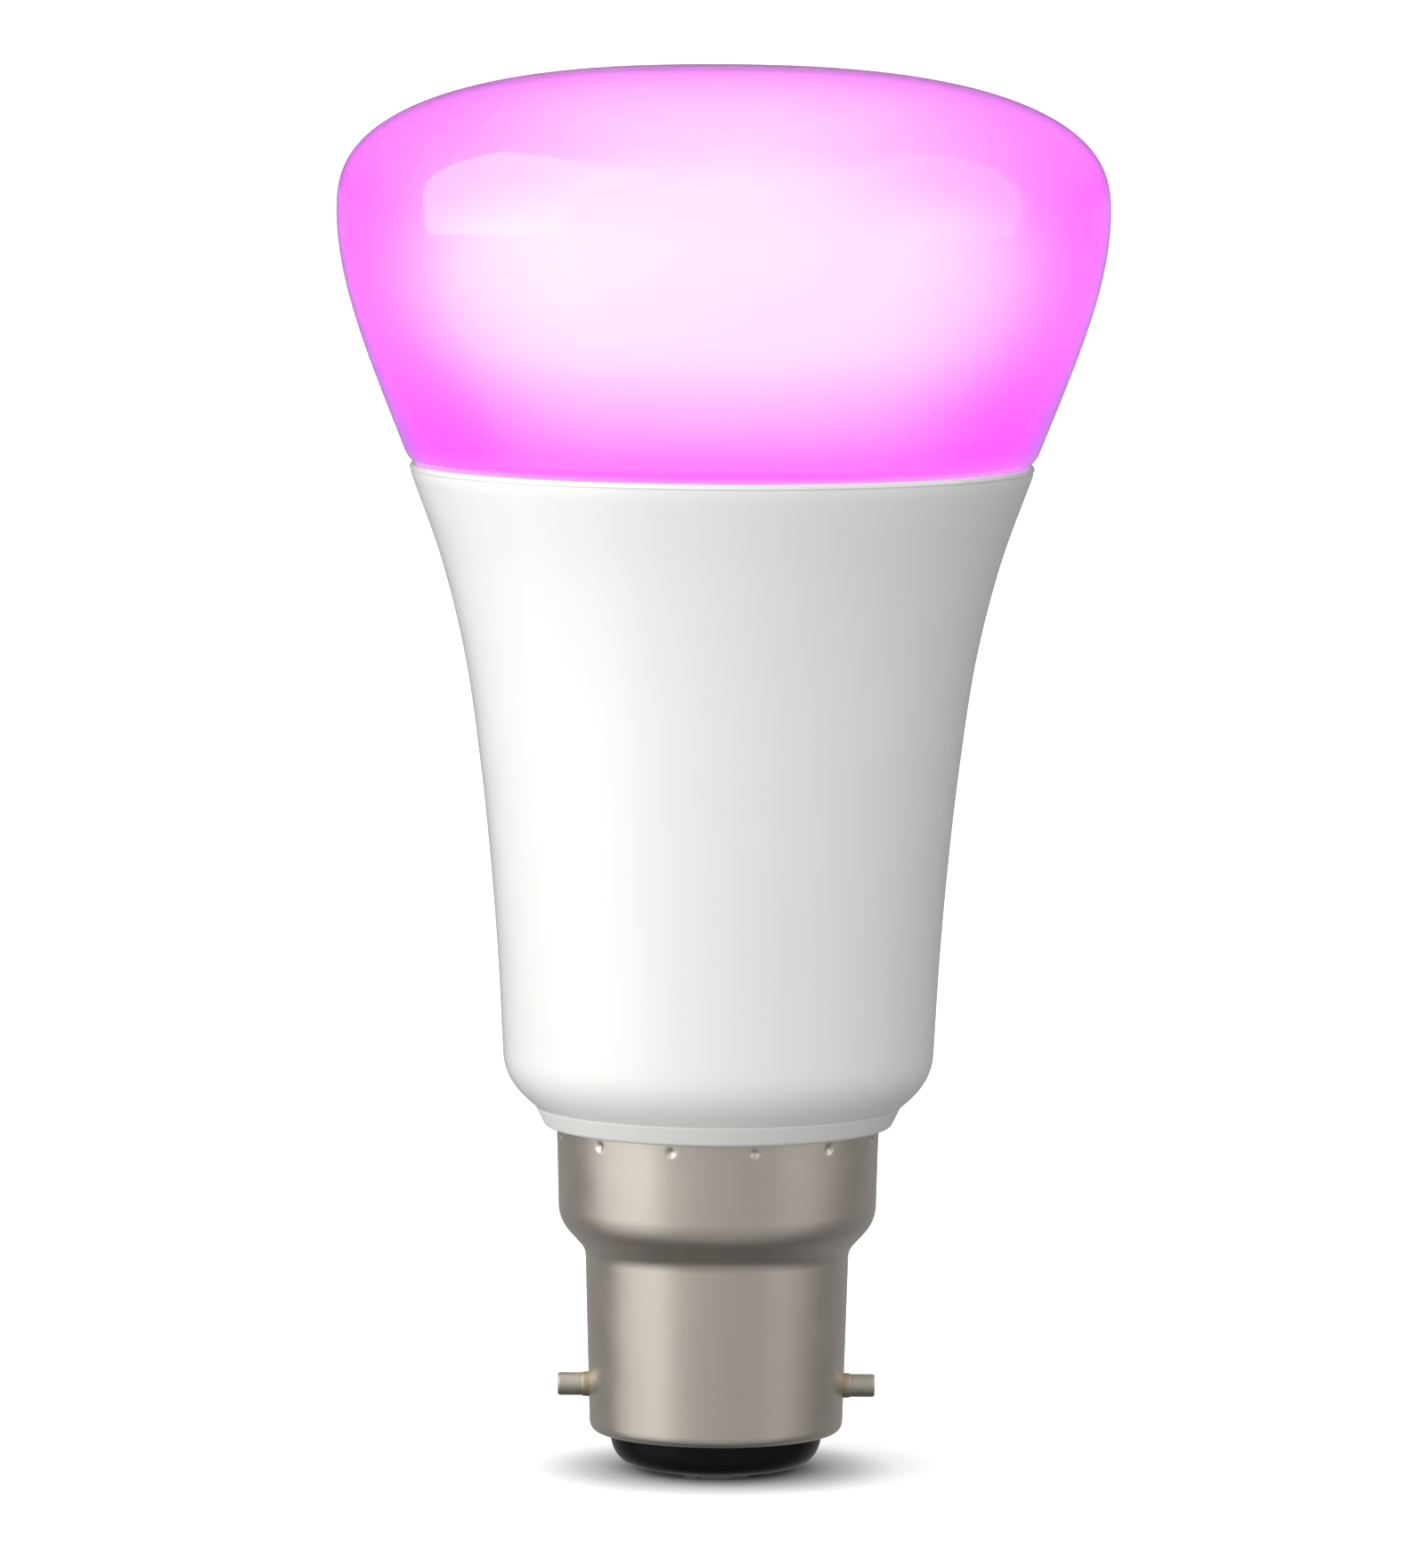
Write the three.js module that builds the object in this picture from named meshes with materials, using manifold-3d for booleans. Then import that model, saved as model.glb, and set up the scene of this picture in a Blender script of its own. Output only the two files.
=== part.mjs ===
// Smart colour light bulb with a B22d bayonet cap, in millimetres, +Z up.
// The origin is on the bulb's axis, in the plane of the two contact faces that the bulb stands on.
// The bayonet pins point along X and the two contacts lie along Y.
// An outline is a list of corners [radius, height, rounding], or [x, y, rounding] for a flat shape.
import * as THREE from "three";
import { mergeVertices } from "three/addons/utils/BufferGeometryUtils.js";
import Module from "manifold-3d";

const wasm = await Module();
wasm.setup();

// ---------------------------------------------------------------- driving dimensions
const OUTER_SEGMENTS = 36; // round pieces that show
const INNER_SEGMENTS = 24; // round pieces inside
const SMALL_SEGMENTS = 12; // screws, pins and round components
const SLIP = 0.05; // between stacked pieces that bear on each other
const FREE = 0.15; // round a piece in its hole

// B22d cap
const CAP = {
  lipRadius: 9.3, lipZ: 3.3, lowRadius: 10.75, neckRadius: 11.2, neckZ: 18.95,
  skirtRadius: 13.48, skirtZ: 21.45, topZ: 29.4, wall: 0.45,
};
const PIN = { radius: 1.0, span: 27, z: 7.2, headRadius: 1.3, collarRadius: 1.2 };
const CRIMP = { count: 12, firstDegrees: 13.3, z: 28.8, face: 13.75, radius: 0.45, depth: 0.4 };
const INSULATOR = { faceZ: 0.35, faceRadius: 6, bodyRadius: 9.95, topZ: 5.6 };
const CONTACT = { offset: 4.1, length: 5.6, width: 3.2, thickness: 0.9, eyeletRadius: 1.5, eyeletTop: 6 };
const RIB = { length: 10.8, width: 1.1, depth: 0.5 }; // the groove between the contacts

// White body
const COLLAR = { lowZ: 29.65, topZ: 30.9, lowRadius: 14.2, radius: 15.25 };
const NECK = { lowZ: 22.6, radius: 12.75, reliefRadius: 12.05, reliefZ: 27.6 };
const CUP = { radius: 13.9, wall: 1.2, topZ: 74 };
const HOUSING = { lowZ: 31.2, boreRadius: 14.3, footTopZ: 36, rimRadius: 26.35, rimZ: 85.6, wall: 1.6 };
const FLARE = [[18.3, 36], [18.75, 44], [19.4, 52], [20.3, 60.3], [21.6, 69.2], [23.6, 77.4], [26.3, 85]];
const SEAT = { radius: 24.2, z: 82.6 }; // the step in the housing's rim that the dome is glued in

// Dome: a curve that opens out from the rim to the widest ring, and a superellipse over the top
const DOME = {
  edgeRadius: 26.9, edgeZ: 87.1, footRadius: 25.9, footZ: 85.9,
  radius: 32.66, widestZ: 107.2, topZ: 119.4,
};
const DOME_ROUNDNESS = 2.5;
const DOME_WALL = 1.7;
const SPIGOT = { radius: 23.9, lowZ: 83.3, wall: 1.3 }; // the dome's ring that stands in the seat

// Light engine, stacked upwards on the heat sink's flange
const HEAT_SINK = {
  wall: 1.2, lowZ: 37, topZ: 81.6, flangeZ: 77.6,
  flangeTopZ: 78.8, flangeBore: 15.2, clearance: 0.3,
};
const SPREADER = { radius: 20.6, lowZ: 78.9, thickness: 2 };
const PAD = { radius: 19.6, lowZ: 81, thickness: 0.5 };
const LED_BOARD = { radius: 20.5, lowZ: 81.6, thickness: 1.6 };
const LED = {
  ringRadius: 11.2, side: 3.2, base: 0.55, lensRadius: 1.2,
  lensHeight: 0.4, firstDegrees: 15, sets: 3,
};
const SCREW = {
  count: 3, firstDegrees: 90, ringRadius: 17.9, radius: 1.15, headRadius: 2.2,
  headHeight: 1.3, length: 6.2, cross: 0.5,
};
const REFLECTOR = { innerRadius: 15.9, outerRadius: 21.9, lowZ: 83.3, topZ: 87 };
const MIXER = { footRadius: 15.4, radius: 26.4, widestZ: 102.5, topZ: 112.5, wall: 1, roundness: 2.3 };

// Driver and radio boards, which stand on end inside the cup
const BOARD = {
  lowZ: 14, tailHalf: 7.5, tailTopZ: 28.5, shoulderZ: 30.5,
  half: 11, topZ: 73.5, thickness: 1.6,
};
const RADIO = { y: 6.4, half: 5.5, lowZ: 60, topZ: 93, thickness: 0.8 };
const SHIELD = { half: 4.6, lowZ: 61.5, topZ: 73.5, depth: 2 };
const ANTENNA = { legs: 5, pitch: 1.8, line: 0.6, lowZ: 85, topZ: 91.6, foil: 0.2 };
const HEADER = { pins: 6, pitch: 2.2, pin: 0.64, half: 7, depth: 2.5, height: 2.5, pinTopZ: 85.2 };
const SOCKET = { half: 7.2, depth: 4.4, height: 2.6, slotHalf: 6.4, slotWidth: 1.2 };
const WIRE = { radius: 0.6, sides: 8, steps: 12 };
const TRANSFORMER = {
  z: 48, standOff: 4.6, half: 6.5, halfHeight: 6.8,
  depth: 2.9, post: 1.4, coil: 4.25, bobbin: 4.3,
};

// ---------------------------------------------------------------- materials
const finish = (color, roughness, metalness = 0, extra = {}) =>
  new THREE.MeshStandardMaterial({ color, roughness, metalness, ...extra });

const MATERIAL = {
  dome: finish(0xf7b8fb, 0.15, 0, { emissive: 0xf064f5, emissiveIntensity: 0.8 }),
  mixer: finish(0xffffff, 0.5, 0, { emissive: 0xffe0ff, emissiveIntensity: 1 }),
  housing: finish(0xf1f1ef, 0.22),
  whitePlastic: finish(0xe9e9e6, 0.4),
  nickel: finish(0xb3aca1, 0.35, 1),
  solder: finish(0xc9c9c6, 0.4, 1),
  blackGlass: finish(0x0b0b0d, 0.12),
  aluminium: finish(0xc4c7ca, 0.35, 1),
  gapPad: finish(0x9fb4c4, 0.9),
  silicone: finish(0xdfe3e2, 0.6),
  greenBoard: finish(0x1f5a38, 0.5),
  whiteBoard: finish(0xf3f3ee, 0.35),
  blackPlastic: finish(0x17181a, 0.45),
  copper: finish(0xb87345, 0.35, 1),
  ferrite: finish(0x33343a, 0.7),
  yellowTape: finish(0xe0b32a, 0.35),
  canSleeve: finish(0x1d2b4f, 0.3),
  yellowFilm: finish(0xd8a53a, 0.45),
  blueDisc: finish(0x2c5d9b, 0.4),
  resistor: finish(0x6f9c8c, 0.5),
  brownWire: finish(0x5d3a22, 0.45),
  blueWire: finish(0x2a4f9e, 0.45),
  tin: finish(0xcfd1d3, 0.3, 1),
  red: finish(0xd84a3a, 0.3),
  green: finish(0x5fbf62, 0.3),
  blue: finish(0x4a6ee0, 0.3),
  white: finish(0xf3dc6b, 0.4),
};

// ---------------------------------------------------------------- geometry helpers
const point = (x, y) => new THREE.Vector2(x, y);

/** The points of an outline. A corner that has a rounding becomes a short curve. */
function rounded(corners) {
  return corners.flatMap(([x, y, rounding], i) => {
    const corner = point(x, y);
    if (!rounding) return [corner];
    const [before, after] = [corners.at(i - 1), corners[(i + 1) % corners.length]]
      .map(([nx, ny]) => point(nx, ny).sub(corner).setLength(rounding).add(corner));
    return new THREE.QuadraticBezierCurve(before, corner, after).getPoints(2);
  });
}

/** A solid turned about +Z. Its outline runs from axis to axis, or is closed here. */
function turned(points, segments) {
  const closed = points[0].x > 0 ? [...points, points[0].clone()] : [...points];
  if (THREE.ShapeUtils.area(closed) < 0) closed.reverse();
  return new THREE.LatheGeometry(closed, segments).rotateX(Math.PI / 2);
}

/** A flat shape in X and Y drawn up from lowZ. */
function plate(shape, lowZ, thickness, curveSegments = SMALL_SEGMENTS / 2) {
  return new THREE.ExtrudeGeometry(shape, { depth: thickness, bevelEnabled: false, curveSegments })
    .translate(0, 0, lowZ);
}

/** A block given by its lowest and highest corners. */
function block([x0, y0, z0], [x1, y1, z1]) {
  return new THREE.BoxGeometry(x1 - x0, y1 - y0, z1 - z0)
    .translate((x0 + x1) / 2, (y0 + y1) / 2, (z0 + z1) / 2);
}

/** A block centred on the axis in X and Y. */
const column = (halfX, halfY, lowZ, highZ) => block([-halfX, -halfY, lowZ], [halfX, halfY, highZ]);

/** A round bar centred on the origin, lying along X, Y or Z. */
function bar(radius, length, axis, segments = SMALL_SEGMENTS) {
  const made = new THREE.CylinderGeometry(radius, radius, length, segments);
  if (axis === "x") return made.rotateZ(Math.PI / 2);
  return axis === "z" ? made.rotateX(Math.PI / 2) : made;
}

/** A quarter superellipse from its widest ring up to the axis. */
function crown(radius, lowZ, topZ, roundness, count) {
  const ring = (t) => point(
    radius * Math.cos(t) ** (2 / roundness),
    lowZ + (topZ - lowZ) * Math.sin(t) ** (2 / roundness),
  );
  const points = Array.from({ length: count }, (_, i) => ring((Math.PI / 2) * (i / count)));
  return [...points, point(0, topZ)];
}

/** A geometry as a manifold-3d solid. */
function solid(geometry) {
  const bare = new THREE.BufferGeometry().setAttribute("position", geometry.getAttribute("position"));
  bare.setIndex(geometry.index);
  const merged = mergeVertices(bare, 1e-4);
  return new wasm.Manifold(new wasm.Mesh({
    numProp: 3,
    vertProperties: merged.attributes.position.array,
    triVerts: new Uint32Array(merged.index.array),
  }));
}

/** A manifold-3d solid as a geometry. */
function geometryOf(made) {
  const mesh = made.getMesh();
  const geometry = new THREE.BufferGeometry()
    .setAttribute("position", new THREE.BufferAttribute(mesh.vertProperties, 3))
    .setIndex(new THREE.BufferAttribute(mesh.triVerts, 1));
  geometry.computeVertexNormals();
  return geometry;
}

const join = (...parts) => geometryOf(parts.map(solid).reduce((a, b) => a.add(b)));
const cut = (body, ...tools) => geometryOf(tools.map(solid).reduce((a, b) => a.subtract(b), solid(body)));
const common = (a, b) => geometryOf(solid(a).intersect(solid(b)));

/** Calls make(angle, index) for count places round the axis. */
function around(count, firstDegrees, make) {
  return Array.from({ length: count }, (_, i) =>
    make(THREE.MathUtils.degToRad(firstDegrees + (360 * i) / count), i));
}

const bulb = new THREE.Group();

/** Adds one named piece to the bulb. */
function piece(name, geometry, material) {
  const mesh = new THREE.Mesh(geometry, material);
  mesh.name = name;
  bulb.add(mesh);
}

// ---------------------------------------------------------------- cap
/** The shell's corners, moved in by inset: a turned-in lip, a drafted barrel, a shoulder and a skirt. */
function shellCorners(inset) {
  const { lipRadius, lipZ, lowRadius, neckRadius, neckZ, skirtRadius, skirtZ, topZ } = CAP;
  const tighter = 1 - inset;
  return [
    [lipRadius, lipZ + inset],
    [lowRadius - inset, lipZ + inset, 0.9 * tighter],
    [neckRadius - inset, neckZ + inset / 2, tighter],
    [skirtRadius - inset, skirtZ + inset / 2, 0.9 * tighter],
    [skirtRadius + 0.2 - inset, topZ - 0.6],
    [skirtRadius + 0.4 - inset, topZ],
  ];
}

/** A cone that stands on the skirt's face at one crimp mark, with its tip towards the axis. */
function crimpCone(angle, radius, depth) {
  return new THREE.ConeGeometry(radius, 2 * depth, 6)
    .rotateZ(Math.PI / 2)
    .translate(CRIMP.face, 0, CRIMP.z)
    .rotateZ(angle);
}

function capShell() {
  const { count, firstDegrees, radius, depth, face } = CRIMP;
  const outer = rounded(shellCorners(0));
  const inner = rounded(shellCorners(CAP.wall)).reverse();
  const within = turned([
    point(0, CRIMP.z - 2 * radius),
    point(face - CAP.wall / 2, CRIMP.z - 2 * radius),
    point(face - CAP.wall / 2, CAP.topZ),
    point(0, CAP.topZ),
  ], OUTER_SEGMENTS);
  const bosses = around(count, firstDegrees, (a) => common(crimpCone(a, 1.5 * radius, 2 * depth), within));
  const marks = around(count, firstDegrees, (a) => crimpCone(a, radius, depth));
  const pinHoles = bar(PIN.radius + FREE, PIN.span, "x").translate(0, 0, PIN.z);
  return cut(join(turned([...outer, ...inner], OUTER_SEGMENTS), ...bosses), ...marks, pinHoles);
}

/** A riveted pin: a head inside the shell, a collar against its face and the free end outside. */
function bayonetPin(side) {
  const { radius, headRadius, collarRadius, span } = PIN;
  const inside = CAP.lowRadius - CAP.wall - FREE;
  const outside = CAP.lowRadius + 2 * FREE;
  const points = rounded([
    [0, inside - 0.7],
    [headRadius, inside - 0.7],
    [headRadius, inside],
    [radius, inside],
    [radius, outside],
    [collarRadius, outside],
    [collarRadius, outside + 0.3],
    [radius, outside + 0.5],
    [radius, span / 2 - 0.15],
    [radius - 0.15, span / 2],
    [0, span / 2],
  ]);
  return turned(points, SMALL_SEGMENTS).rotateY(side * Math.PI / 2).translate(0, 0, PIN.z);
}

/** The contact's outline: straight sides along X and round ends. */
function contactShape(grow = 0) {
  const radius = CONTACT.width / 2;
  const middle = CONTACT.length / 2 - radius;
  return new THREE.Shape()
    .absarc(middle, 0, radius + grow, -Math.PI / 2, Math.PI / 2, false)
    .absarc(-middle, 0, radius + grow, Math.PI / 2, 1.5 * Math.PI, false);
}

function capInsulator() {
  const { faceZ, faceRadius, bodyRadius, topZ } = INSULATOR;
  const throat = CAP.lipRadius - 0.3;
  const bowl = new THREE.QuadraticBezierCurve(
    point(faceRadius, faceZ),
    point(throat - 0.4, faceZ + 0.6),
    point(throat, CAP.lipZ),
  );
  const body = turned([
    point(0, faceZ),
    ...bowl.getPoints(4),
    point(throat, CAP.lipZ + CAP.wall),
    point(bodyRadius, CAP.lipZ + CAP.wall + 1),
    point(bodyRadius, topZ),
    point(0, topZ),
  ], OUTER_SEGMENTS);
  const recesses = [-1, 1].flatMap((side) => [
    plate(contactShape(FREE), 0, CONTACT.thickness + FREE).translate(0, side * CONTACT.offset, 0),
    bar(CONTACT.eyeletRadius + FREE, 3 * topZ, "z").translate(0, side * CONTACT.offset, 0),
  ]);
  return cut(body, ...recesses, column(RIB.length / 2, RIB.width / 2, 0, faceZ + RIB.depth));
}

/** A contact: its flat face, and the eyelet above it that its wire comes down. */
function contact(side) {
  const { thickness, eyeletRadius, eyeletTop, offset } = CONTACT;
  const eyelet = bar(eyeletRadius, eyeletTop - thickness / 2, "z")
    .translate(0, 0, (eyeletTop + thickness / 2) / 2);
  const bore = bar(WIRE.radius + FREE, eyeletTop, "z").translate(0, 0, thickness + eyeletTop / 2);
  return cut(join(plate(contactShape(), 0, thickness), eyelet), bore).translate(0, side * offset, 0);
}

/** An insulated lead from a contact's eyelet up to its place on the driver board's tail. */
function leadWire(side) {
  const route = new THREE.CatmullRomCurve3([
    new THREE.Vector3(0, side * CONTACT.offset, CONTACT.thickness + 2 * FREE),
    new THREE.Vector3(0, side * CONTACT.offset, 7.5),
    new THREE.Vector3(side * 1.8, side * 3.7, 11),
    new THREE.Vector3(side * 4.6, side * 2.5, 14.5),
    new THREE.Vector3(side * 5.4, side * 1.9, 18.5),
  ]);
  const section = new THREE.Shape().absarc(0, 0, WIRE.radius, 0, 2 * Math.PI, false);
  const options = { steps: WIRE.steps, extrudePath: route, curveSegments: WIRE.sides / 2 };
  return new THREE.ExtrudeGeometry(section, options);
}

piece("cap_shell", capShell(), MATERIAL.nickel);
piece("bayonet_pin_left", bayonetPin(-1), MATERIAL.nickel);
piece("bayonet_pin_right", bayonetPin(1), MATERIAL.nickel);
piece("cap_insulator", capInsulator(), MATERIAL.blackGlass);
piece("contact_live", contact(1), MATERIAL.solder);
piece("contact_neutral", contact(-1), MATERIAL.solder);
piece("live_wire", leadWire(1), MATERIAL.brownWire);
piece("neutral_wire", leadWire(-1), MATERIAL.blueWire);

// ---------------------------------------------------------------- white body
const flare = new THREE.SplineCurve(FLARE.map(([r, z]) => point(r, z)));

/** The housing's outer radius at a height on its flare. */
function flareRadius(z) {
  const upper = Math.max(1, FLARE.findIndex((corner) => corner[1] >= z));
  const [, z0] = FLARE[upper - 1];
  const [, z1] = FLARE[upper];
  return flare.getPoint((upper - 1 + (z - z0) / (z1 - z0)) / (FLARE.length - 1)).x;
}

/** Points up the flare between two heights, moved in by inset. */
function flareFace(inset, lowZ, highZ, count) {
  return Array.from({ length: count + 1 }, (_, i) => {
    const z = THREE.MathUtils.lerp(lowZ, highZ, i / count);
    return point(flareRadius(z) - inset, z);
  });
}

function housing() {
  const { lowZ, boreRadius, footTopZ, rimRadius, rimZ, wall } = HOUSING;
  const foot = new THREE.CubicBezierCurve(
    point(15.5, lowZ),
    point(17.2, lowZ + 1.4),
    point(18.25, lowZ + 2.6),
    point(FLARE[0][0], footTopZ),
  );
  return turned([
    point(boreRadius, lowZ),
    ...foot.getPoints(4),
    ...flareFace(0, footTopZ, FLARE.at(-1)[1], 9).slice(1),
    point(rimRadius - 0.1, rimZ - 0.15),
    point(rimRadius - 0.4, rimZ),
    point(SEAT.radius, rimZ),
    point(SEAT.radius, SEAT.z),
    ...flareFace(wall, footTopZ + 1, SEAT.z, 6).reverse(),
    point(15.4, lowZ + 2.2),
    point(boreRadius, lowZ + wall),
  ], OUTER_SEGMENTS);
}

/** The insulating cup round the driver: a neck inside the cap, the collar that shows and a sleeve above. */
function driverCup() {
  const { lowZ, topZ, lowRadius, radius } = COLLAR;
  const { wall } = CUP;
  return turned(rounded([
    [NECK.radius - wall, NECK.lowZ],
    [NECK.radius, NECK.lowZ],
    [NECK.radius, NECK.reliefZ],
    [NECK.reliefRadius, NECK.reliefZ + 0.5],
    [NECK.reliefRadius, lowZ],
    [lowRadius, lowZ],
    [radius, lowZ + 0.6, 0.4],
    [radius, topZ],
    [CUP.radius, topZ],
    [CUP.radius, CUP.topZ],
    [CUP.radius - wall, CUP.topZ],
    [CUP.radius - wall, topZ],
    [NECK.reliefRadius - wall, lowZ - 1.5],
    [NECK.reliefRadius - wall, NECK.reliefZ],
  ]), OUTER_SEGMENTS);
}

piece("housing", housing(), MATERIAL.housing);
piece("driver_cup", driverCup(), MATERIAL.whitePlastic);

// ---------------------------------------------------------------- heat sink and light engine
const onRing = (radius) => (angle) => [radius * Math.cos(angle), radius * Math.sin(angle)];
const SCREW_PLACES = around(SCREW.count, SCREW.firstDegrees, onRing(SCREW.ringRadius));
const LED_FACE = LED_BOARD.lowZ + LED_BOARD.thickness + SLIP;

/** A disc with clearance holes for the screws, and slots for the pin header and for the radio's antenna. */
function pierced({ radius, lowZ, thickness }, holeClearance, slotClearance) {
  const shape = new THREE.Shape(around(INNER_SEGMENTS, 0, onRing(radius)).map(([x, y]) => point(x, y)));
  for (const [x, y] of SCREW_PLACES) {
    shape.holes.push(new THREE.Path().absarc(x, y, SCREW.radius + holeClearance, 0, 2 * Math.PI, true));
  }
  const slots = [
    { y: 0, halfX: HEADER.half + slotClearance, halfY: HEADER.depth / 2 + slotClearance },
    { y: RADIO.y, halfX: RADIO.half + slotClearance, halfY: RADIO.thickness / 2 + slotClearance },
  ];
  for (const { y, halfX, halfY } of slots) {
    shape.holes.push(new THREE.Path([
      point(-halfX, y - halfY),
      point(-halfX, y + halfY),
      point(halfX, y + halfY),
      point(halfX, y - halfY),
    ]));
  }
  return plate(shape, lowZ, thickness);
}

/** The housing's pressed aluminium liner, with the inward flange that the light engine is screwed to. */
function heatSink() {
  const { wall, lowZ, topZ, flangeZ, flangeTopZ, flangeBore, clearance } = HEAT_SINK;
  const outside = HOUSING.wall + clearance;
  const inside = outside + wall;
  const shell = turned([
    ...flareFace(outside, lowZ, topZ, 6),
    ...flareFace(inside, flangeTopZ, topZ, 1).reverse(),
    point(flangeBore, flangeTopZ),
    point(flangeBore, flangeZ),
    ...flareFace(inside, lowZ, flangeZ, 4).reverse(),
  ], INNER_SEGMENTS);
  const holes = SCREW_PLACES.map(([x, y]) => bar(SCREW.radius + FREE, 6, "z").translate(x, y, flangeZ));
  return cut(shell, ...holes);
}

/** A pan-head screw with a cross recess, its head on the LED board. */
function screw([x, y]) {
  const { radius, headRadius, headHeight, length, cross } = SCREW;
  const topZ = LED_FACE + headHeight;
  const body = turned(rounded([
    [0, LED_FACE - length],
    [radius - 0.4, LED_FACE - length],
    [radius, LED_FACE - length + 0.5],
    [radius, LED_FACE],
    [headRadius, LED_FACE],
    [headRadius, LED_FACE + headHeight / 2],
    [headRadius - 0.6, topZ],
    [0, topZ],
  ]), SMALL_SEGMENTS);
  const arm = headRadius - 0.9;
  const recess = [[arm, cross / 2], [cross / 2, arm]].map(([w, h]) => column(w, h, topZ - 0.7, topZ + 1));
  return cut(body, ...recess).translate(x, y, 0);
}

/** An LED package: a square carrier with a round lens, turned to face out along the ring. */
function led(angle) {
  const { ringRadius, side, base, lensRadius, lensHeight } = LED;
  const carrier = column(side / 2, side / 2, 0, base);
  const lens = bar(lensRadius, lensHeight, "z", 10).translate(0, 0, base + lensHeight / 4);
  return join(carrier, lens)
    .rotateZ(angle)
    .translate(ringRadius * Math.cos(angle), ringRadius * Math.sin(angle), LED_FACE);
}

function reflectorRing() {
  const { innerRadius, outerRadius, lowZ, topZ } = REFLECTOR;
  const ring = turned(rounded([
    [innerRadius, lowZ],
    [outerRadius, lowZ],
    [outerRadius, topZ],
    [outerRadius - 0.7, topZ],
    [outerRadius - 2.2, lowZ + 1.2],
    [innerRadius, lowZ + 0.8],
  ]), INNER_SEGMENTS);
  const pockets = SCREW_PLACES.map(([x, y]) => bar(SCREW.headRadius + FREE, 8, "z").translate(x, y, lowZ));
  return cut(ring, ...pockets);
}

/** The inner diffuser that mixes the LEDs' colours: a thin hood that swells out over them, open below. */
function mixingDiffuser() {
  const { footRadius, radius, widestZ, topZ, wall, roundness } = MIXER;
  const lowZ = REFLECTOR.lowZ;
  const face = (inset) => [
    ...new THREE.CubicBezierCurve(
      point(footRadius - inset, lowZ),
      point(footRadius + 0.8 - inset, lowZ + 8.7),
      point(radius - inset, widestZ - 7),
      point(radius - inset, widestZ),
    ).getPoints(5),
    ...crown(radius - inset, widestZ, topZ - inset, roundness, 5).slice(1),
  ];
  return turned([...face(0).reverse(), ...face(wall)], INNER_SEGMENTS);
}

piece("heat_sink", heatSink(), MATERIAL.aluminium);
piece("spreader_plate", pierced(SPREADER, FREE, 0.8), MATERIAL.aluminium);
piece("thermal_pad", pierced(PAD, 0.4, 1), MATERIAL.gapPad);
piece("led_board", pierced(LED_BOARD, 0.25, 0.4), MATERIAL.whiteBoard);
SCREW_PLACES.forEach((place, i) => piece(`led_screw_${i + 1}`, screw(place), MATERIAL.tin));
["red", "green", "blue", "white"].forEach((colour, kind, kinds) => {
  const firstDegrees = LED.firstDegrees + (360 * kind) / (LED.sets * kinds.length);
  around(LED.sets, firstDegrees, (angle, i) => {
    piece(`led_${colour}_${i + 1}`, led(angle), MATERIAL[colour]);
  });
});
piece("reflector_ring", reflectorRing(), MATERIAL.whiteBoard);
piece("mixing_diffuser", mixingDiffuser(), MATERIAL.mixer);

// ---------------------------------------------------------------- dome
/** The dome's face from its edge to its top, moved in by inset. */
function domeFace(inset, sideCount, crownCount) {
  const { edgeRadius, edgeZ, radius, widestZ, topZ } = DOME;
  const side = new THREE.CubicBezierCurve(
    point(edgeRadius - inset, edgeZ),
    point(edgeRadius + 3.2 - inset, edgeZ + 8),
    point(radius - inset, widestZ - 6),
    point(radius - inset, widestZ),
  );
  return [
    ...side.getPoints(sideCount),
    ...crown(radius - inset, widestZ, topZ - inset, DOME_ROUNDNESS, crownCount).slice(1),
  ];
}

function diffuserDome() {
  const { footRadius, footZ } = DOME;
  return turned([
    ...domeFace(0, 5, 7).reverse(),
    point(footRadius + 0.6, footZ + 0.4),
    point(footRadius, footZ),
    point(SPIGOT.radius, footZ),
    point(SPIGOT.radius, SPIGOT.lowZ),
    point(SPIGOT.radius - SPIGOT.wall, SPIGOT.lowZ),
    point(SPIGOT.radius - SPIGOT.wall, footZ + 0.8),
    ...domeFace(DOME_WALL, 4, 5),
  ], OUTER_SEGMENTS);
}

/** The flat bead of adhesive between the dome's spigot and its seat. */
function domeSeal() {
  return turned(rounded([
    [SPIGOT.radius - SPIGOT.wall, SEAT.z + 2 * SLIP],
    [SPIGOT.radius + FREE, SEAT.z + 2 * SLIP],
    [SPIGOT.radius + FREE, SPIGOT.lowZ - SLIP],
    [SPIGOT.radius - SPIGOT.wall, SPIGOT.lowZ - SLIP],
  ]), OUTER_SEGMENTS);
}

piece("diffuser_dome", diffuserDome(), MATERIAL.dome);
piece("dome_seal", domeSeal(), MATERIAL.silicone);

// ---------------------------------------------------------------- driver board and radio
const BOARD_FACE = BOARD.thickness / 2 + 2 * SLIP; // from the board's middle plane to a part on either face

function driverBoard() {
  const { lowZ, tailHalf, tailTopZ, shoulderZ, half, topZ, thickness } = BOARD;
  const left = [
    point(-tailHalf, lowZ),
    point(-tailHalf, tailTopZ),
    point(-half, shoulderZ),
    point(-half, topZ),
  ];
  const right = left.map((p) => point(-p.x, p.y)).reverse();
  return plate(new THREE.Shape([...left, ...right]), -thickness / 2, thickness).rotateX(Math.PI / 2);
}

/** The header on the driver board's top edge, whose pins carry the supply up through the LED board. */
function boardHeader() {
  const { pins, pitch, pin, half, depth, height, pinTopZ } = HEADER;
  const lowZ = BOARD.topZ + 2 * SLIP;
  const posts = Array.from({ length: pins }, (_, i) => (i - (pins - 1) / 2) * pitch)
    .map((x) => column(pin / 2, pin / 2, lowZ + height / 2, pinTopZ).translate(x, 0, 0));
  return join(column(half, depth / 2, lowZ, lowZ + height), ...posts);
}

function headerSocket() {
  const { half, depth, height, slotHalf, slotWidth } = SOCKET;
  const body = column(half, depth / 2, LED_FACE, LED_FACE + height);
  return cut(body, column(slotHalf, slotWidth / 2, LED_FACE - 1, LED_FACE + height + 1));
}

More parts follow.
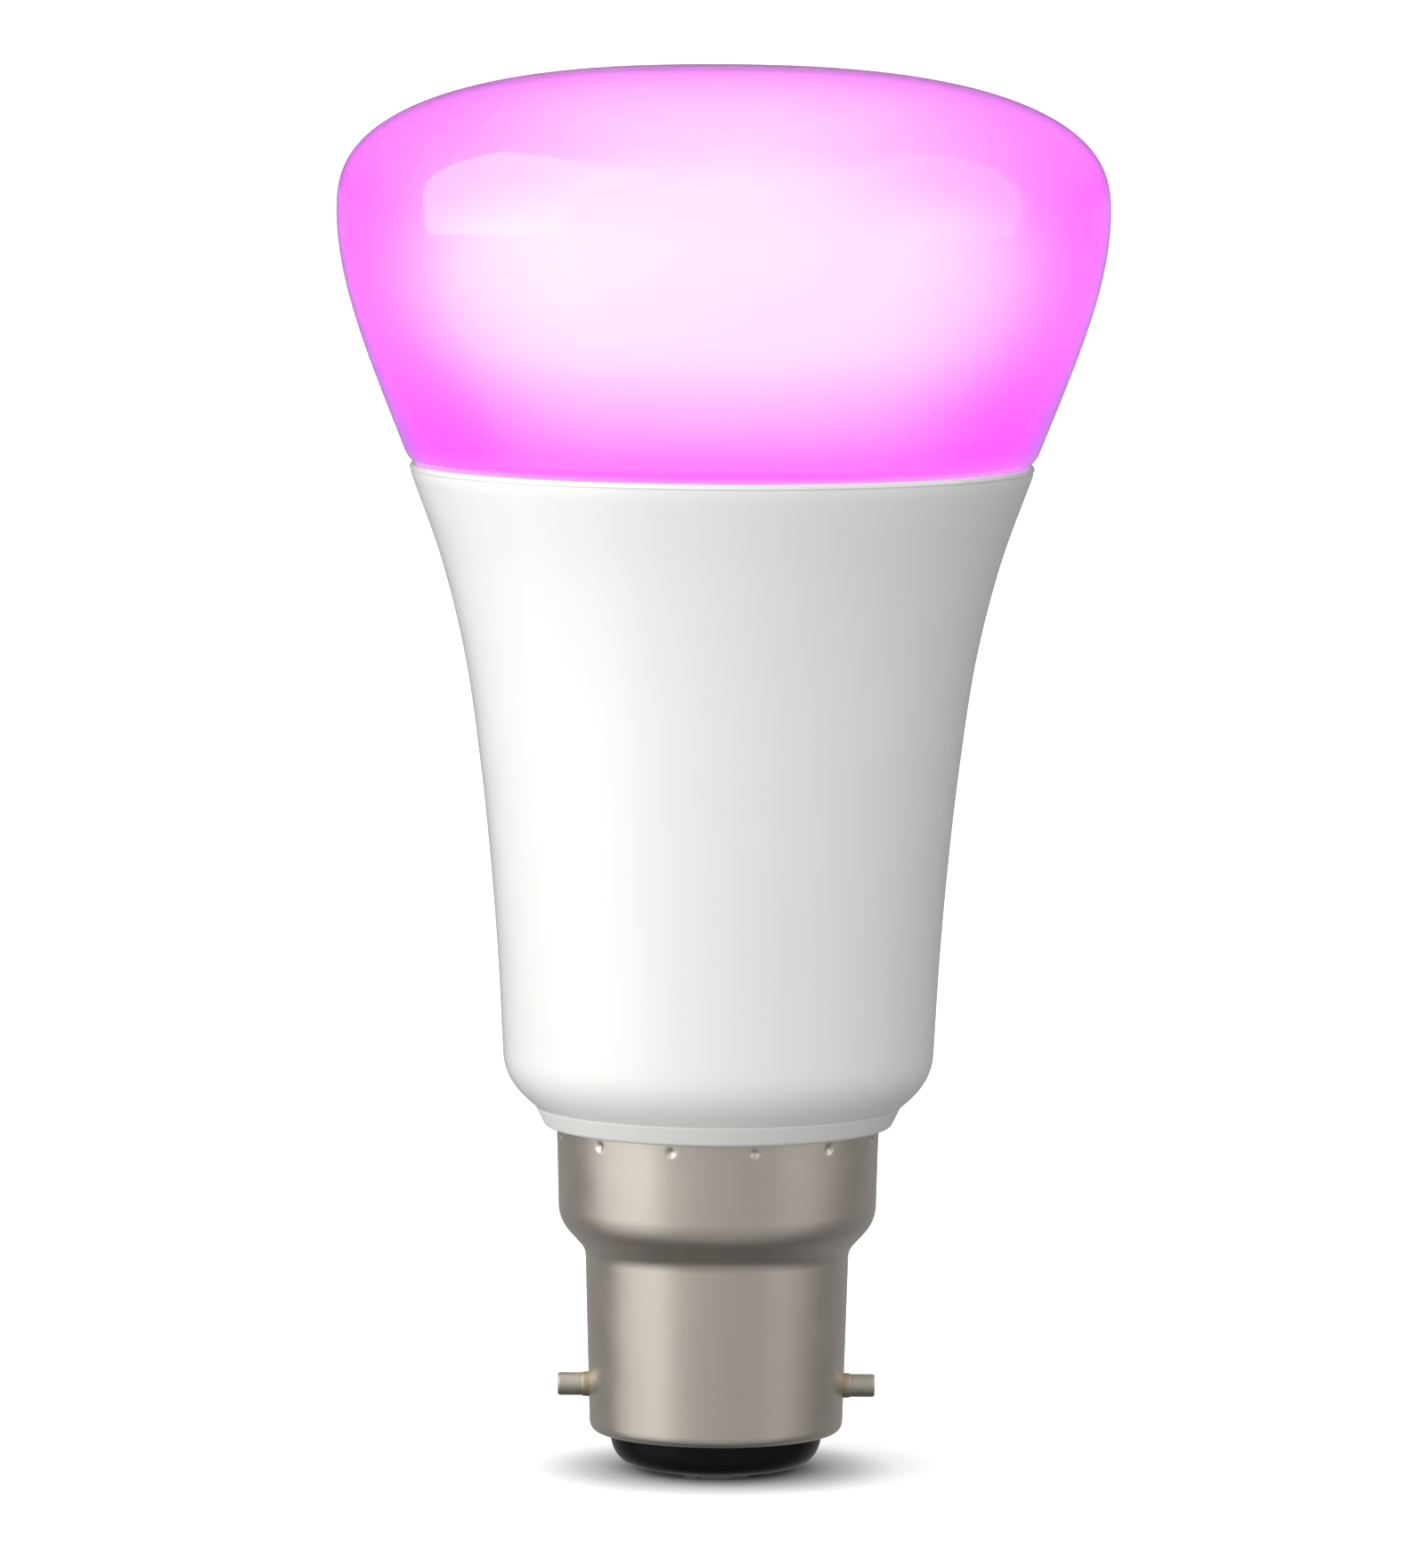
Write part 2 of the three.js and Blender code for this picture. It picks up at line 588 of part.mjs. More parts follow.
/** The radio's antenna: a meander of foil on the end of its board, which stands up under the dome. */
function antennaTrace() {
  const { legs, pitch, line, lowZ, topZ, foil } = ANTENNA;
  const y = RADIO.y - RADIO.thickness / 2 - SLIP;
  const strip = (x0, z0, x1, z1) => block([x0, y - foil, z0], [x1, y, z1]);
  const places = Array.from({ length: legs }, (_, i) => (i - (legs - 1) / 2) * pitch - line / 2);
  const uprights = places.map((x) => strip(x, lowZ, x + line, topZ));
  const links = places.slice(1).map((x, i) => {
    const z = i % 2 ? lowZ : topZ - line;
    return strip(x - pitch, z, x + line, z + line);
  });
  return join(...uprights, ...links);
}

piece("driver_board", driverBoard(), MATERIAL.greenBoard);
piece("board_header", boardHeader(), MATERIAL.blackPlastic);
piece("header_socket", headerSocket(), MATERIAL.whitePlastic);
piece("radio_board",
  column(RADIO.half, RADIO.thickness / 2, RADIO.lowZ, RADIO.topZ).translate(0, RADIO.y, 0),
  MATERIAL.greenBoard);
piece("radio_shield",
  column(SHIELD.half, SHIELD.depth / 2, SHIELD.lowZ, SHIELD.topZ)
    .translate(0, RADIO.y + RADIO.thickness / 2 + SLIP + SHIELD.depth / 2, 0),
  MATERIAL.tin);
piece("antenna_trace", antennaTrace(), MATERIAL.copper);

// ---------------------------------------------------------------- driver components
/** The flyback transformer: a closed core round a bobbin, with the winding between the bobbin's flanges. */
function transformer() {
  const { z, standOff, half, halfHeight, depth, post, coil, bobbin } = TRANSFORMER;
  const place = (geometry) => geometry.translate(0, BOARD_FACE + standOff, z);
  const frame = cut(
    column(half, depth, -halfHeight, halfHeight),
    column(half - 1.9, depth + 1, -halfHeight + 1.8, halfHeight - 1.8),
  );
  const core = join(frame, column(post, 2, 1 - halfHeight, halfHeight - 1));
  const barrel = 2 * post;
  const flanges = [-bobbin, bobbin - 0.6].map((low) => column(bobbin, bobbin, low, low + 0.6));
  const tube = column(barrel, barrel, -bobbin, bobbin);
  const reel = cut(join(...flanges, tube), column(post + FREE, 2 + FREE, -halfHeight, halfHeight));
  const bore = barrel * Math.SQRT2 + SLIP;
  const layers = turned(rounded([[bore, -3.5], [coil, -3.5], [coil, 3.5], [bore, 3.5]]), INNER_SEGMENTS);
  piece("transformer_core", place(core), MATERIAL.ferrite);
  piece("transformer_bobbin", place(reel), MATERIAL.blackPlastic);
  piece("transformer_winding", place(layers), MATERIAL.yellowTape);
}

/** An electrolytic capacitor standing along Z on one face of the board, with the groove near its seal. */
function canCapacitor([name, side, x, lowZ, radius, length]) {
  const can = turned(rounded([
    [0, 0],
    [radius, 0, 0.4],
    [radius, 1.4],
    [radius - 0.45, 1.9],
    [radius, 2.4],
    [radius, length, 0.4],
    [0, length],
  ]), SMALL_SEGMENTS);
  piece(name, can.translate(x, side * (BOARD_FACE + radius + SLIP), lowZ), MATERIAL.canSleeve);
}

/** A box component on one face of the board: its width, its depth off the board and its height. */
function boxComponent([name, side, x, z, [width, depth, height], material]) {
  const box = column(width / 2, depth / 2, -height / 2, height / 2);
  piece(name, box.translate(x, side * (BOARD_FACE + depth / 2), z), material);
}

/** A round component on one face of the board, lying along an axis. */
function roundComponent([name, side, x, z, radius, length, axis, material]) {
  const standOff = axis === "y" ? length / 2 : radius;
  piece(name, bar(radius, length, axis).translate(x, side * (BOARD_FACE + standOff), z), material);
}

// A side of 1 is the board's +Y face, and -1 is its -Y face.
const { blackPlastic, ferrite, yellowFilm, blueDisc, resistor } = MATERIAL;
transformer();
// name, side, x, low z, radius, length
[
  ["bulk_capacitor", -1, 0, 36, 5, 16],
  ["output_capacitor_1", -1, -3.7, 56, 3.2, 12],
  ["output_capacitor_2", -1, 3.7, 56, 3.2, 12],
].forEach(canCapacitor);
// name, side, x, z, size, material
[
  ["film_capacitor", 1, 0, 29.5, [10, 5.6, 9], yellowFilm],
  ["bridge_rectifier", 1, -4.5, 37.4, [4.8, 2.5, 4], blackPlastic],
  ["power_transistor", 1, 4, 37.4, [6, 2.3, 5.4], blackPlastic],
  ["output_diode", 1, -6, 58.2, [3.6, 2.3, 4.6], blackPlastic],
  ["controller_ic", 1, 3, 58.2, [5, 1.5, 4], blackPlastic],
  ["led_driver_ic", -1, 0, 70.8, [5, 1, 5], blackPlastic],
  ["channel_inductor_1", 1, -4, 66, [5.4, 2.8, 5.4], ferrite],
  ["channel_inductor_2", 1, 4, 66, [5.4, 2.8, 5.4], ferrite],
].forEach(boxComponent);
// name, side, x, z, radius, length, axis, material
[
  ["varistor", -1, 0, 19.5, 3.4, 2.6, "y", blueDisc],
  ["fuse_resistor", 1, -1.5, 21.4, 1.5, 8, "x", resistor],
  ["input_inductor", -1, 0, 29, 3.6, 7.4, "y", ferrite],
].forEach(roundComponent);

export default bulb;
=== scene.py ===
"""Looks of the smart colour light bulb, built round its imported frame.

Lengths are in metres. Outlines are lists of corners in millimetres, as (radius, height, rounding).
"""
import math
from functools import cache

import bmesh
import bpy
from mathutils import Matrix, Vector


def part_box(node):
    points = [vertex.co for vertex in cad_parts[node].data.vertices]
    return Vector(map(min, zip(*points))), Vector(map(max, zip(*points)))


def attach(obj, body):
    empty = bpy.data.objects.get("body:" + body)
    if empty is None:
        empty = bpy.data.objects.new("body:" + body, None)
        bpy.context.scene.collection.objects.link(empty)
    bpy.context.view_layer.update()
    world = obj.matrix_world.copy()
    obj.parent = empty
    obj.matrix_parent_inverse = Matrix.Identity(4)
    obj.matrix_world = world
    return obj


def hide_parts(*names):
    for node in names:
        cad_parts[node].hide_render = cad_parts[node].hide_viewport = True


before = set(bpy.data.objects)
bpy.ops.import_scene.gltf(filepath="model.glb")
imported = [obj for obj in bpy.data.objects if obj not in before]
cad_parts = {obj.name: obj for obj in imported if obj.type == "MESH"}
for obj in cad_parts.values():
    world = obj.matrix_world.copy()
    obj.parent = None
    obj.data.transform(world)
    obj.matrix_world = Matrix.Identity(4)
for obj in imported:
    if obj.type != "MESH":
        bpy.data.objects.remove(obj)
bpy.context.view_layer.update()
MM = 0.001

# ---------------- studio
CAMERA_AT = Vector((0, -0.900, 0.146))
CAMERA_AIM = Vector((-0.00064, 0, 0.0586))
CAMERA_ROLL = math.radians(0.37)
CAMERA_LENS = 245

LIGHT_AIM = Vector((0, 0, 0.07))
# name, azimuth from the camera's side (left is negative), elevation, distance, width, height, radiance
# at the edge nearer the camera and at the far edge, and whether gloss shows it
SOFTBOXES = [
    ("key_softbox", -72, 29, 0.8, 0.88, 1.06, 1.1, 2.5, True),
    ("fill_softbox", 74.5, 29, 0.8, 0.74, 1.06, 0.32, 1.12, True),
    ("front_softbox", -2, 14, 1.3, 1.4, 1.2, 1.16, 1.16, False),
]
# azimuth, half width and radiance of the lower ends of the softboxes, which only gloss shows
PANELS = [(-71, 28, 0.43), (74.5, 25, 0.10)]
PANEL_EDGE = 4
# azimuth, elevation, tightness and radiance of the soft patches of light round the studio
GLOWS = [(-42, 9, 12, 0.36), (57, -6, 16, 0.16)]
FRONT_WALL = (-8, 8, 3.2, 0.45)
UNDER, REAR_UNDER, FRONT_UNDER, WALL, CEILING = 0.08, 0.24, 0.30, 0.12, 0.34
# how steeply down the lower world and the panels have gone dark, and over how much they fade up from there
UNDER_FADE, PANEL_FADE = (-0.97, 0.12), (-0.8, 0.35)
# light that the floor gives of itself at each distance from the bulb; it is none close in, which paints a
# contact shadow round the bulb's foot
FLOOR_GLOW_AND_SHADOW = [(0.0095, 0.0), (0.016, 0.54), (0.03, 0.85), (1.0, 1.0)]
# how far left and right on the floor light bounces up, and how much of it there
BOUNCE_ACROSS = (-0.12, 0.12, 0.84, 0.15)
# how far from the bulb its shade on the floor starts to lift and has gone, and how light it is there
BOUNCE_SHADE = (0.03, 0.11, 0.66, 1.3)


def make_camera():
    camera = bpy.data.objects.new("camera", bpy.data.cameras.new("camera"))
    bpy.context.scene.collection.objects.link(camera)
    camera.data.lens = CAMERA_LENS
    camera.data.sensor_width = 36
    camera.data.clip_end = 100
    camera.location = CAMERA_AT
    turn = (CAMERA_AIM - CAMERA_AT).to_track_quat("-Z", "Y")
    camera.rotation_euler = (turn.to_matrix() @ Matrix.Rotation(CAMERA_ROLL, 3, "Z")).to_euler()
    bpy.context.scene.camera = camera


def direction(azimuth, elevation):
    """A unit vector out from the bulb. Azimuth 0 is the camera's side and 90 its right."""
    a, e = math.radians(azimuth), math.radians(elevation)
    return Vector((math.sin(a) * math.cos(e), -math.cos(a) * math.cos(e), math.sin(e)))


def make_softbox(name, azimuth, elevation, distance, width, height, near, far, in_gloss):
    """A soft light that faces the bulb, and grows brighter towards its far edge."""
    away = direction(azimuth, elevation)
    data = bpy.data.lights.new(name, "AREA")
    data.shape, data.size, data.size_y = "RECTANGLE", width, height
    data.energy = math.pi * width * height
    data.use_nodes = True
    t = Nodes(data.node_tree)
    across = t.add("SeparateXYZ", t.add("NewGeometry")["Parametric"])["X"]
    ends = (near, far) if azimuth > 0 else (far, near)
    t.feed(t.tree.nodes["Emission"].inputs["Strength"], t.ranged(across, 0, 1, *ends))
    lamp = bpy.data.objects.new(name, data)
    bpy.context.scene.collection.objects.link(lamp)
    lamp.location = LIGHT_AIM + away * distance
    lamp.rotation_euler = (-away).to_track_quat("-Z", "Y").to_euler()
    if not in_gloss:
        hide_from(lamp, "glossy", "transmission")


def make_world():
    """Soft patches of light round the bulb, and a dim underside that the gloss of undersides picks up."""
    world = bpy.data.worlds.new("studio")
    bpy.context.scene.world = world
    world.use_nodes = True
    t = Nodes(world.node_tree)
    way = t.add("TexCoord")["Generated"]

    def facing(part, radiance, tightness=1):
        return t.product(t.math("POWER", t.math("MAXIMUM", part, 0.0), tightness), radiance)

    def glow(azimuth, elevation, tightness, radiance):
        near = t.vector("DOT_PRODUCT", way, direction(azimuth, elevation))["Value"]
        return facing(near, radiance, tightness)

    parts = t.add("SeparateXYZ", way)
    up, back, ahead = parts["Z"], parts["Y"], t.product(parts["Y"], -1.0)
    above = t.over(up, 0.0)
    below = t.minus(1.0, above)
    table = t.total(facing(back, REAR_UNDER), facing(ahead, FRONT_UNDER))
    light = t.total(
        UNDER,
        t.product(below, t.share(up, *UNDER_FADE), table),
        facing(up, CEILING),
        t.product(above, t.total(WALL, glow(*FRONT_WALL))),
        *[glow(*patch) for patch in GLOWS],
    )
    lower = t.product(below, t.share(up, *PANEL_FADE))
    around = t.math("ARCTAN2", parts["X"], ahead)
    for azimuth, half_width, radiance in PANELS:
        aside = t.math("ABSOLUTE", t.minus(around, math.radians(azimuth)))
        edges = [math.radians(half_width + side * PANEL_EDGE) for side in (1, -1)]
        light = t.total(light, t.product(lower, t.ranged(aside, *edges, 0, radiance)))
    t.feed(t.tree.nodes["Background"].inputs["Color"], light)


def make_floor():
    """A pale floor that the camera sees, whose own glow falls away near the bulb in a painted shadow, and
    under it the card whose light bounces up onto the bulb.
    """
    t = Finish("floor_white", Base_Color=(0.62, 0.62, 0.62), Roughness=0.9, Emission_Color=(1, 1, 1))
    # painted shadow: the floor's own glow is taken away close to the bulb
    t.drive(Emission_Strength=t.ramp(t.radius(), FLOOR_GLOW_AND_SHADOW))
    mix = t.tree.nodes.new("ShaderNodeMixShader")
    clear = t.add("BsdfTransparent")["BSDF"]
    for socket, value in zip(mix.inputs, (t.add("NewGeometry")["Backfacing"], t.shader.outputs[0], clear)):
        t.feed(socket, value)
    t.feed(t.tree.nodes["Material Output"].inputs["Surface"], mix.outputs[0])
    hide_from(make_plane("floor", 60, 0, t.material), "diffuse", "glossy", "transmission")

    t = Finish("card_white", Base_Color=(0, 0, 0), Emission_Color=(1, 1, 1))
    graded = t.ranged(t.spot()["X"], *BOUNCE_ACROSS)
    t.drive(Emission_Strength=t.product(graded, t.ranged(t.radius(), *BOUNCE_SHADE)))
    hide_from(make_plane("bounce_card", 4, -0.01, t.material), "camera", "glossy", "transmission", "shadow")


def make_plane(name, size, height, material):
    bpy.ops.mesh.primitive_plane_add(size=size, location=(0, 0, height))
    plane = bpy.context.object
    plane.name = name
    plane.data.materials.append(material)
    material.cycles.emission_sampling = "NONE"
    return plane


def hide_from(thing, *rays):
    for ray in rays:
        setattr(thing, f"visible_{ray}", False)


# ---------------- node helpers
class Nodes:
    """Short ways to add shader nodes to a tree."""

    def __init__(self, tree):
        self.tree = tree

    def feed(self, socket, value):
        """Links a socket to another one, or sets its value. A colour may leave out its alpha."""
        if isinstance(value, bpy.types.NodeSocket):
            self.tree.links.new(value, socket)
        elif value is not None:
            if hasattr(socket.default_value, "__len__"):
                size = len(socket.default_value)
                value = (*value, 1)[:size] if hasattr(value, "__len__") else [value] * size
            socket.default_value = value

    def add(self, kind, *inputs):
        node = self.tree.nodes.new(f"ShaderNode{kind}")
        for socket, value in zip(node.inputs, inputs):
            self.feed(socket, value)
        return {s.name: s for s in node.outputs}

    def math(self, operation, a, b=None, clamp=False):
        node = self.tree.nodes.new("ShaderNodeMath")
        node.operation, node.use_clamp = operation, clamp
        self.feed(node.inputs[0], a)
        self.feed(node.inputs[1], b)
        return node.outputs[0]

    def total(self, first, *more):
        for value in more:
            first = self.math("ADD", first, value)
        return first

    def product(self, first, *more):
        for value in more:
            first = self.math("MULTIPLY", first, value)
        return first

    def minus(self, a, b):
        return self.math("SUBTRACT", a, b)

    def over(self, value, edge):
        return self.math("GREATER_THAN", value, edge)

    def under(self, value, edge):
        return self.math("LESS_THAN", value, edge)

    def near(self, value, place, reach):
        """1 where a value is within reach of a place, and 0 elsewhere."""
        return self.under(self.math("ABSOLUTE", self.minus(value, place)), reach)

    def share(self, value, start, reach):
        """How far a value has come from a start over a reach, from 0 to 1."""
        return self.math("DIVIDE", self.minus(value, start), reach, clamp=True)

    def hypot(self, a, b):
        return self.math("SQRT", self.total(self.math("POWER", a, 2), self.math("POWER", b, 2)))

    def stripes(self, value, pitch, width):
        """1 on the part of each pitch that a line's width takes up, and 0 between the lines."""
        return self.under(self.math("FRACT", self.math("DIVIDE", value, pitch)), width)

    def vector(self, operation, a, b=None):
        node = self.tree.nodes.new("ShaderNodeVectorMath")
        node.operation = operation
        self.feed(node.inputs[0], a)
        self.feed(node.inputs[1], b)
        return {s.name: s for s in node.outputs}

    def scaled(self, colour, factor):
        scaled = self.vector("SCALE", colour)["Vector"]
        self.feed(scaled.node.inputs["Scale"], factor)
        return scaled

    def mix(self, share, a, b):
        """Colour a where the share is 0, and b where it is 1."""
        node = self.tree.nodes.new("ShaderNodeMix")
        node.data_type = "RGBA"
        sockets = {s.identifier: s for s in node.inputs}
        for name, value in (("Factor_Float", share), ("A_Color", a), ("B_Color", b)):
            self.feed(sockets[name], value)
        return next(s for s in node.outputs if s.identifier == "Result_Color")

    def ramp(self, factor, stops):
        """Stops are (position, grey or colour)."""
        node = self.tree.nodes.new("ShaderNodeValToRGB")
        elements = node.color_ramp.elements
        while len(elements) < len(stops):
            elements.new(1.0)
        for element, (position, tone) in zip(elements, stops):
            element.position = position
            element.color = (*tone, 1) if hasattr(tone, "__len__") else (tone, tone, tone, 1)
        self.feed(node.inputs["Fac"], factor)
        return node.outputs["Color"]

    def place(self, scale=(1, 1, 1)):
        """The object's own coordinates, stretched."""
        node = self.tree.nodes.new("ShaderNodeMapping")
        self.feed(node.inputs["Vector"], self.add("TexCoord")["Object"])
        node.inputs["Scale"].default_value = scale
        return node.outputs["Vector"]

    def spot(self):
        """The object's own coordinates, apart."""
        return self.add("SeparateXYZ", self.place())

    def level(self, low, top):
        """How far up a piece is between two heights, from 0 to 1."""
        return self.share(self.spot()["Z"], low, top - low)

    def radius(self):
        """The distance from the bulb's axis."""
        return self.vector("LENGTH", self.place((1, 1, 0)))["Value"]

    def noise(self, scale, detail=3, roughness=0.5, vector=None):
        node = self.tree.nodes.new("ShaderNodeTexNoise")
        self.feed(node.inputs["Vector"], vector or self.place())
        for name, value in (("Scale", scale), ("Detail", detail), ("Roughness", roughness)):
            node.inputs[name].default_value = value
        return node.outputs["Fac"]

    def ranged(self, value, *limits):
        """A value brought from between the first two limits to between the other two."""
        return self.add("MapRange", value, *limits)["Result"]

    def spread(self, factor, low, high):
        """A noise, which keeps to about 0.3 to 0.7, spread from low to high."""
        return self.ranged(factor, 0.3, 0.7, low, high)

    def bump(self, height, distance, strength=1.0, normal=None):
        node = self.tree.nodes.new("ShaderNodeBump")
        values = {"Height": height, "Distance": distance, "Strength": strength, "Normal": normal}
        for name, value in values.items():
            self.feed(node.inputs[name], value)
        return node.outputs["Normal"]

    def grain(self, scale, distance=0.00001):
        return self.bump(self.noise(scale, 2), distance)


class Finish(Nodes):
    """A material, with short ways to set and link its shader's sockets."""

    def __init__(self, name, **values):
        self.material = bpy.data.materials.new(name)
        self.material.use_nodes = True
        super().__init__(self.material.node_tree)
        self.shader = self.tree.nodes["Principled BSDF"]
        self.drive(**values)

    def drive(self, **values):
        for name, value in values.items():
            self.feed(self.shader.inputs[name.replace("_", " ")], value)
        return self.material

    def surface(self, colour, gloss, normal=None, **more):
        """Links a colour, a cloudy roughness of (noise scale, lowest, highest), and a bump."""
        scale, low, high = gloss
        roughness = self.spread(self.noise(scale), low, high)
        return self.drive(Base_Color=colour, Roughness=roughness, Normal=normal, **more)


# ---------------- materials
# heights between which the glow of the dome and of the hood inside it is graded
DOME_HEIGHTS, HOOD_HEIGHTS = (0.086, 0.1194), (0.083, 0.1125)
# how far out the riveted part of a pin ends, and over how much its colour fades from there
RIVET_END, RIVET_FADE = 0.0118, 0.0008
# how far from the bulb's axis a contact lies, and the radius and half width of its rubbed ring
CONTACT_OUT, RING_RADIUS, RING_WIDTH = 0.0041, 0.0011, 0.0003


def dome_material():
    """Opal plastic tinted by the light inside: it scatters what glows behind it and keeps a crisp gloss.
    Its own emission is painted glow, and both that glow and the magenta tint are graded by height, dimmer
    and deeper magenta low down as painted shade.
    """
    t = Finish("opal_dome", Transmission_Weight=1.0, IOR=1.5, Roughness=0.43, Coat_Weight=1.0,
               Coat_Roughness=0.03, Coat_IOR=1.55, Emission_Strength=1.0)
    level = t.level(*DOME_HEIGHTS)
    # painted glow of the shell itself, dimmer low down as painted shade
    glow = t.ramp(level, [
        (0.00, (0.30, 0.075, 0.34)),
        (0.05, (0.22, 0.010, 0.32)),
        (0.30, (0.28, 0.010, 0.38)),
        (0.60, (0.34, 0.020, 0.40)),
        (1.00, (0.34, 0.015, 0.38)),
    ])
    # the magenta of the light painted into the plastic, deeper low down as painted shade
    tint = t.ramp(level, [(0.0, (0.90, 0.20, 0.95)), (0.3, (0.96, 0.34, 0.98)), (1.0, (0.97, 0.36, 0.98))])
    return t.drive(
        Emission_Color=t.scaled(glow, t.spread(t.noise(60, 2), 0.97, 1.03)),
        Base_Color=t.scaled(tint, t.spread(t.noise(90, 2), 0.97, 1.0)),
        Coat_Normal=t.grain(900),
    )


def mixer_material():
    """White opal that glows from within, and most on its flat top."""
    t = Finish("opal_mixer", Base_Color=(0.95, 0.85, 0.95), Roughness=0.5, Emission_Strength=1.0)
    return t.drive(Emission_Color=t.ramp(t.level(*HOOD_HEIGHTS), [
        (0.105, (0.4, 0.15, 0.4)),
        (0.220, (1.75, 1.30, 1.75)),
        (0.480, (2.35, 2.2, 2.35)),
        (0.905, (2.15, 1.95, 2.15)),
        (0.980, (6.4, 6.1, 6.4)),
    ]))


def housing_material():
    t = Finish("white_gloss_body", Coat_Weight=1.0, Coat_Roughness=0.06, Coat_IOR=1.5)
    tone = t.mix(t.noise(70), (0.85, 0.85, 0.835), (0.82, 0.82, 0.80))
    return t.surface(tone, (220, 0.30, 0.42), t.grain(1400))


def collar_material():
    t = Finish("white_satin_cup")
    # painted shade: this white is set greyer than the body's, for the collar's downward face
    tone = t.mix(t.noise(200), (0.75, 0.745, 0.725), (0.71, 0.705, 0.685))
    return t.surface(tone, (400, 0.30, 0.45), t.grain(2500))


def nickel_material():
    """Satin nickel with drawing lines round the shell and a slightly mottled sheen."""
    t = Finish("satin_nickel", Metallic=1.0)
    mottle = t.noise(260, 4, 0.6)
    lines = t.noise(1.0, 2, 0.5, t.place((90, 90, 7000)))
    tone = t.total(t.product(mottle, 0.75), t.product(lines, 0.25))
    grain = t.bump(t.noise(3000, 2), 0.000006, 0.5)
    return t.drive(
        Base_Color=t.mix(tone, (0.86, 0.79, 0.71), (0.75, 0.68, 0.60)),
        Roughness=t.total(t.spread(mottle, 0.32, 0.40), t.spread(lines, -0.01, 0.01)),
        Normal=t.bump(lines, 0.000001, 0.4, grain),
    )


@cache
def pin_material():
    """Drawn brass pins under dull nickel, yellower where they are riveted into the shell."""
    t = Finish("dull_nickel_pin", Metallic=1.0)
    rivet = t.share(t.math("ABSOLUTE", t.spot()["X"]), RIVET_END, -RIVET_FADE)
    worn = t.mix(t.noise(700, 4, 0.6), (0.66, 0.62, 0.55), (0.48, 0.44, 0.38))
    drawn = t.bump(t.noise(1.0, 2, 0.5, t.place((300, 5000, 5000))), 0.000006)
    return t.surface(t.mix(rivet, worn, (0.50, 0.42, 0.30)), (900, 0.42, 0.58), drawn)


def insulator_material():
    t = Finish("black_glass", Specular_IOR_Level=0.14)
    tone = t.mix(t.noise(300), (0.004, 0.004, 0.0045), (0.009, 0.0085, 0.008))
    return t.surface(tone, (500, 0.18, 0.3))


def plastic(name, light, dark, gloss=(0.35, 0.5), scale=300, grain=0.00001, **values):
    """A material whose colour, gloss and fine grain vary over its surface."""
    t = Finish(name, **values)
    tone = t.mix(t.noise(scale, 4, 0.6), light, dark)
    return t.surface(tone, (2 * scale, *gloss), t.grain(6 * scale, grain))


@cache
def contact_material():
    """Dull solder darkened further as painted shade for the shadow that the pads sit in, with the bright
    rings that a lampholder's plungers rub into it.
    """
    t = Finish("solder_contact", Metallic=1.0)
    spot = t.spot()
    away = t.hypot(spot["X"], t.minus(t.math("ABSOLUTE", spot["Y"]), CONTACT_OUT))
    rubbed = t.product(t.near(away, RING_RADIUS, RING_WIDTH), 0.6)
    # painted shade: the solder is set darker than it is, for the shadow under the bulb
    dull = t.mix(t.noise(900, 4, 0.6), (0.26, 0.255, 0.245), (0.15, 0.147, 0.14))
    solder = t.bump(t.noise(2500), 0.00002)
    return t.surface(t.mix(rubbed, dull, (0.66, 0.65, 0.62)), (1500, 0.42, 0.62), solder)


def aluminium_material(name):
    """Bare aluminium with turning lines round the axis."""
    t = Finish(name, Metallic=1.0)
    lines = t.noise(4000, 2, 0.5, t.add("CombineXYZ", t.radius(), t.spot()["Z"])["Vector"])
    tone = t.mix(lines, (0.82, 0.83, 0.84), (0.70, 0.71, 0.72))
    return t.surface(tone, (400, 0.3, 0.45), t.bump(lines, 0.000008))


@cache
def tin_material():
    return plastic("bright_tin", (0.80, 0.80, 0.79), (0.66, 0.66, 0.65), (0.28, 0.42), 600, Metallic=1.0)


def led_board_material():
    """White solder mask over ring-shaped tracks, which stand up a little."""
    t = Finish("white_solder_mask")
    tracks = t.stripes(t.radius(), 0.0021, 0.8)
    tone = t.mix(tracks, (0.80, 0.80, 0.76), (0.90, 0.90, 0.87))
    tone = t.scaled(tone, t.spread(t.noise(300), 0.96, 1.0))
    return t.surface(tone, (700, 0.3, 0.45), t.bump(tracks, 0.00003))


def board_material():
    """Green solder mask over copper tracks that run up the board in some places and across it in others."""
    t = Finish("green_solder_mask")
    spot = t.spot()
    region = t.over(t.noise(110, 1), 0.5)
    upright = t.product(t.stripes(spot["X"], 0.0011, 0.55), region)
    level = t.product(t.stripes(spot["Z"], 0.0013, 0.5), t.minus(1.0, region))
    tracks = t.total(upright, level)
    tone = t.mix(tracks, (0.012, 0.085, 0.035), (0.025, 0.16, 0.07))
    tone = t.scaled(tone, t.spread(t.noise(500), 0.85, 1.1))
    return t.surface(tone, (900, 0.28, 0.45), t.bump(tracks, 0.00003))


LED_TONES = {
    "red": (0.75, 0.06, 0.03),
    "green": (0.10, 0.52, 0.12),
    "blue": (0.06, 0.14, 0.72),
    "white": (0.90, 0.72, 0.18),
}
CARRIER_HEIGHT = 0.00064  # the resin of the lens starts above it


def led_material(colour, tone):
    """A pale carrier, and above it the tinted resin of the lens."""
    t = Finish(f"led_{colour}_resin")
    low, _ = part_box(f"led_{colour}_1")
    resin = t.over(t.minus(t.spot()["Z"], low[2]), CARRIER_HEIGHT)
    cloud = t.noise(1200)
    pale = t.mix(cloud, (0.86, 0.86, 0.84), (0.78, 0.78, 0.76))
    tinted = t.mix(cloud, tone, [v * 0.8 for v in tone])
    return t.surface(t.mix(resin, pale, tinted), (1500, 0.18, 0.4), t.grain(3000))


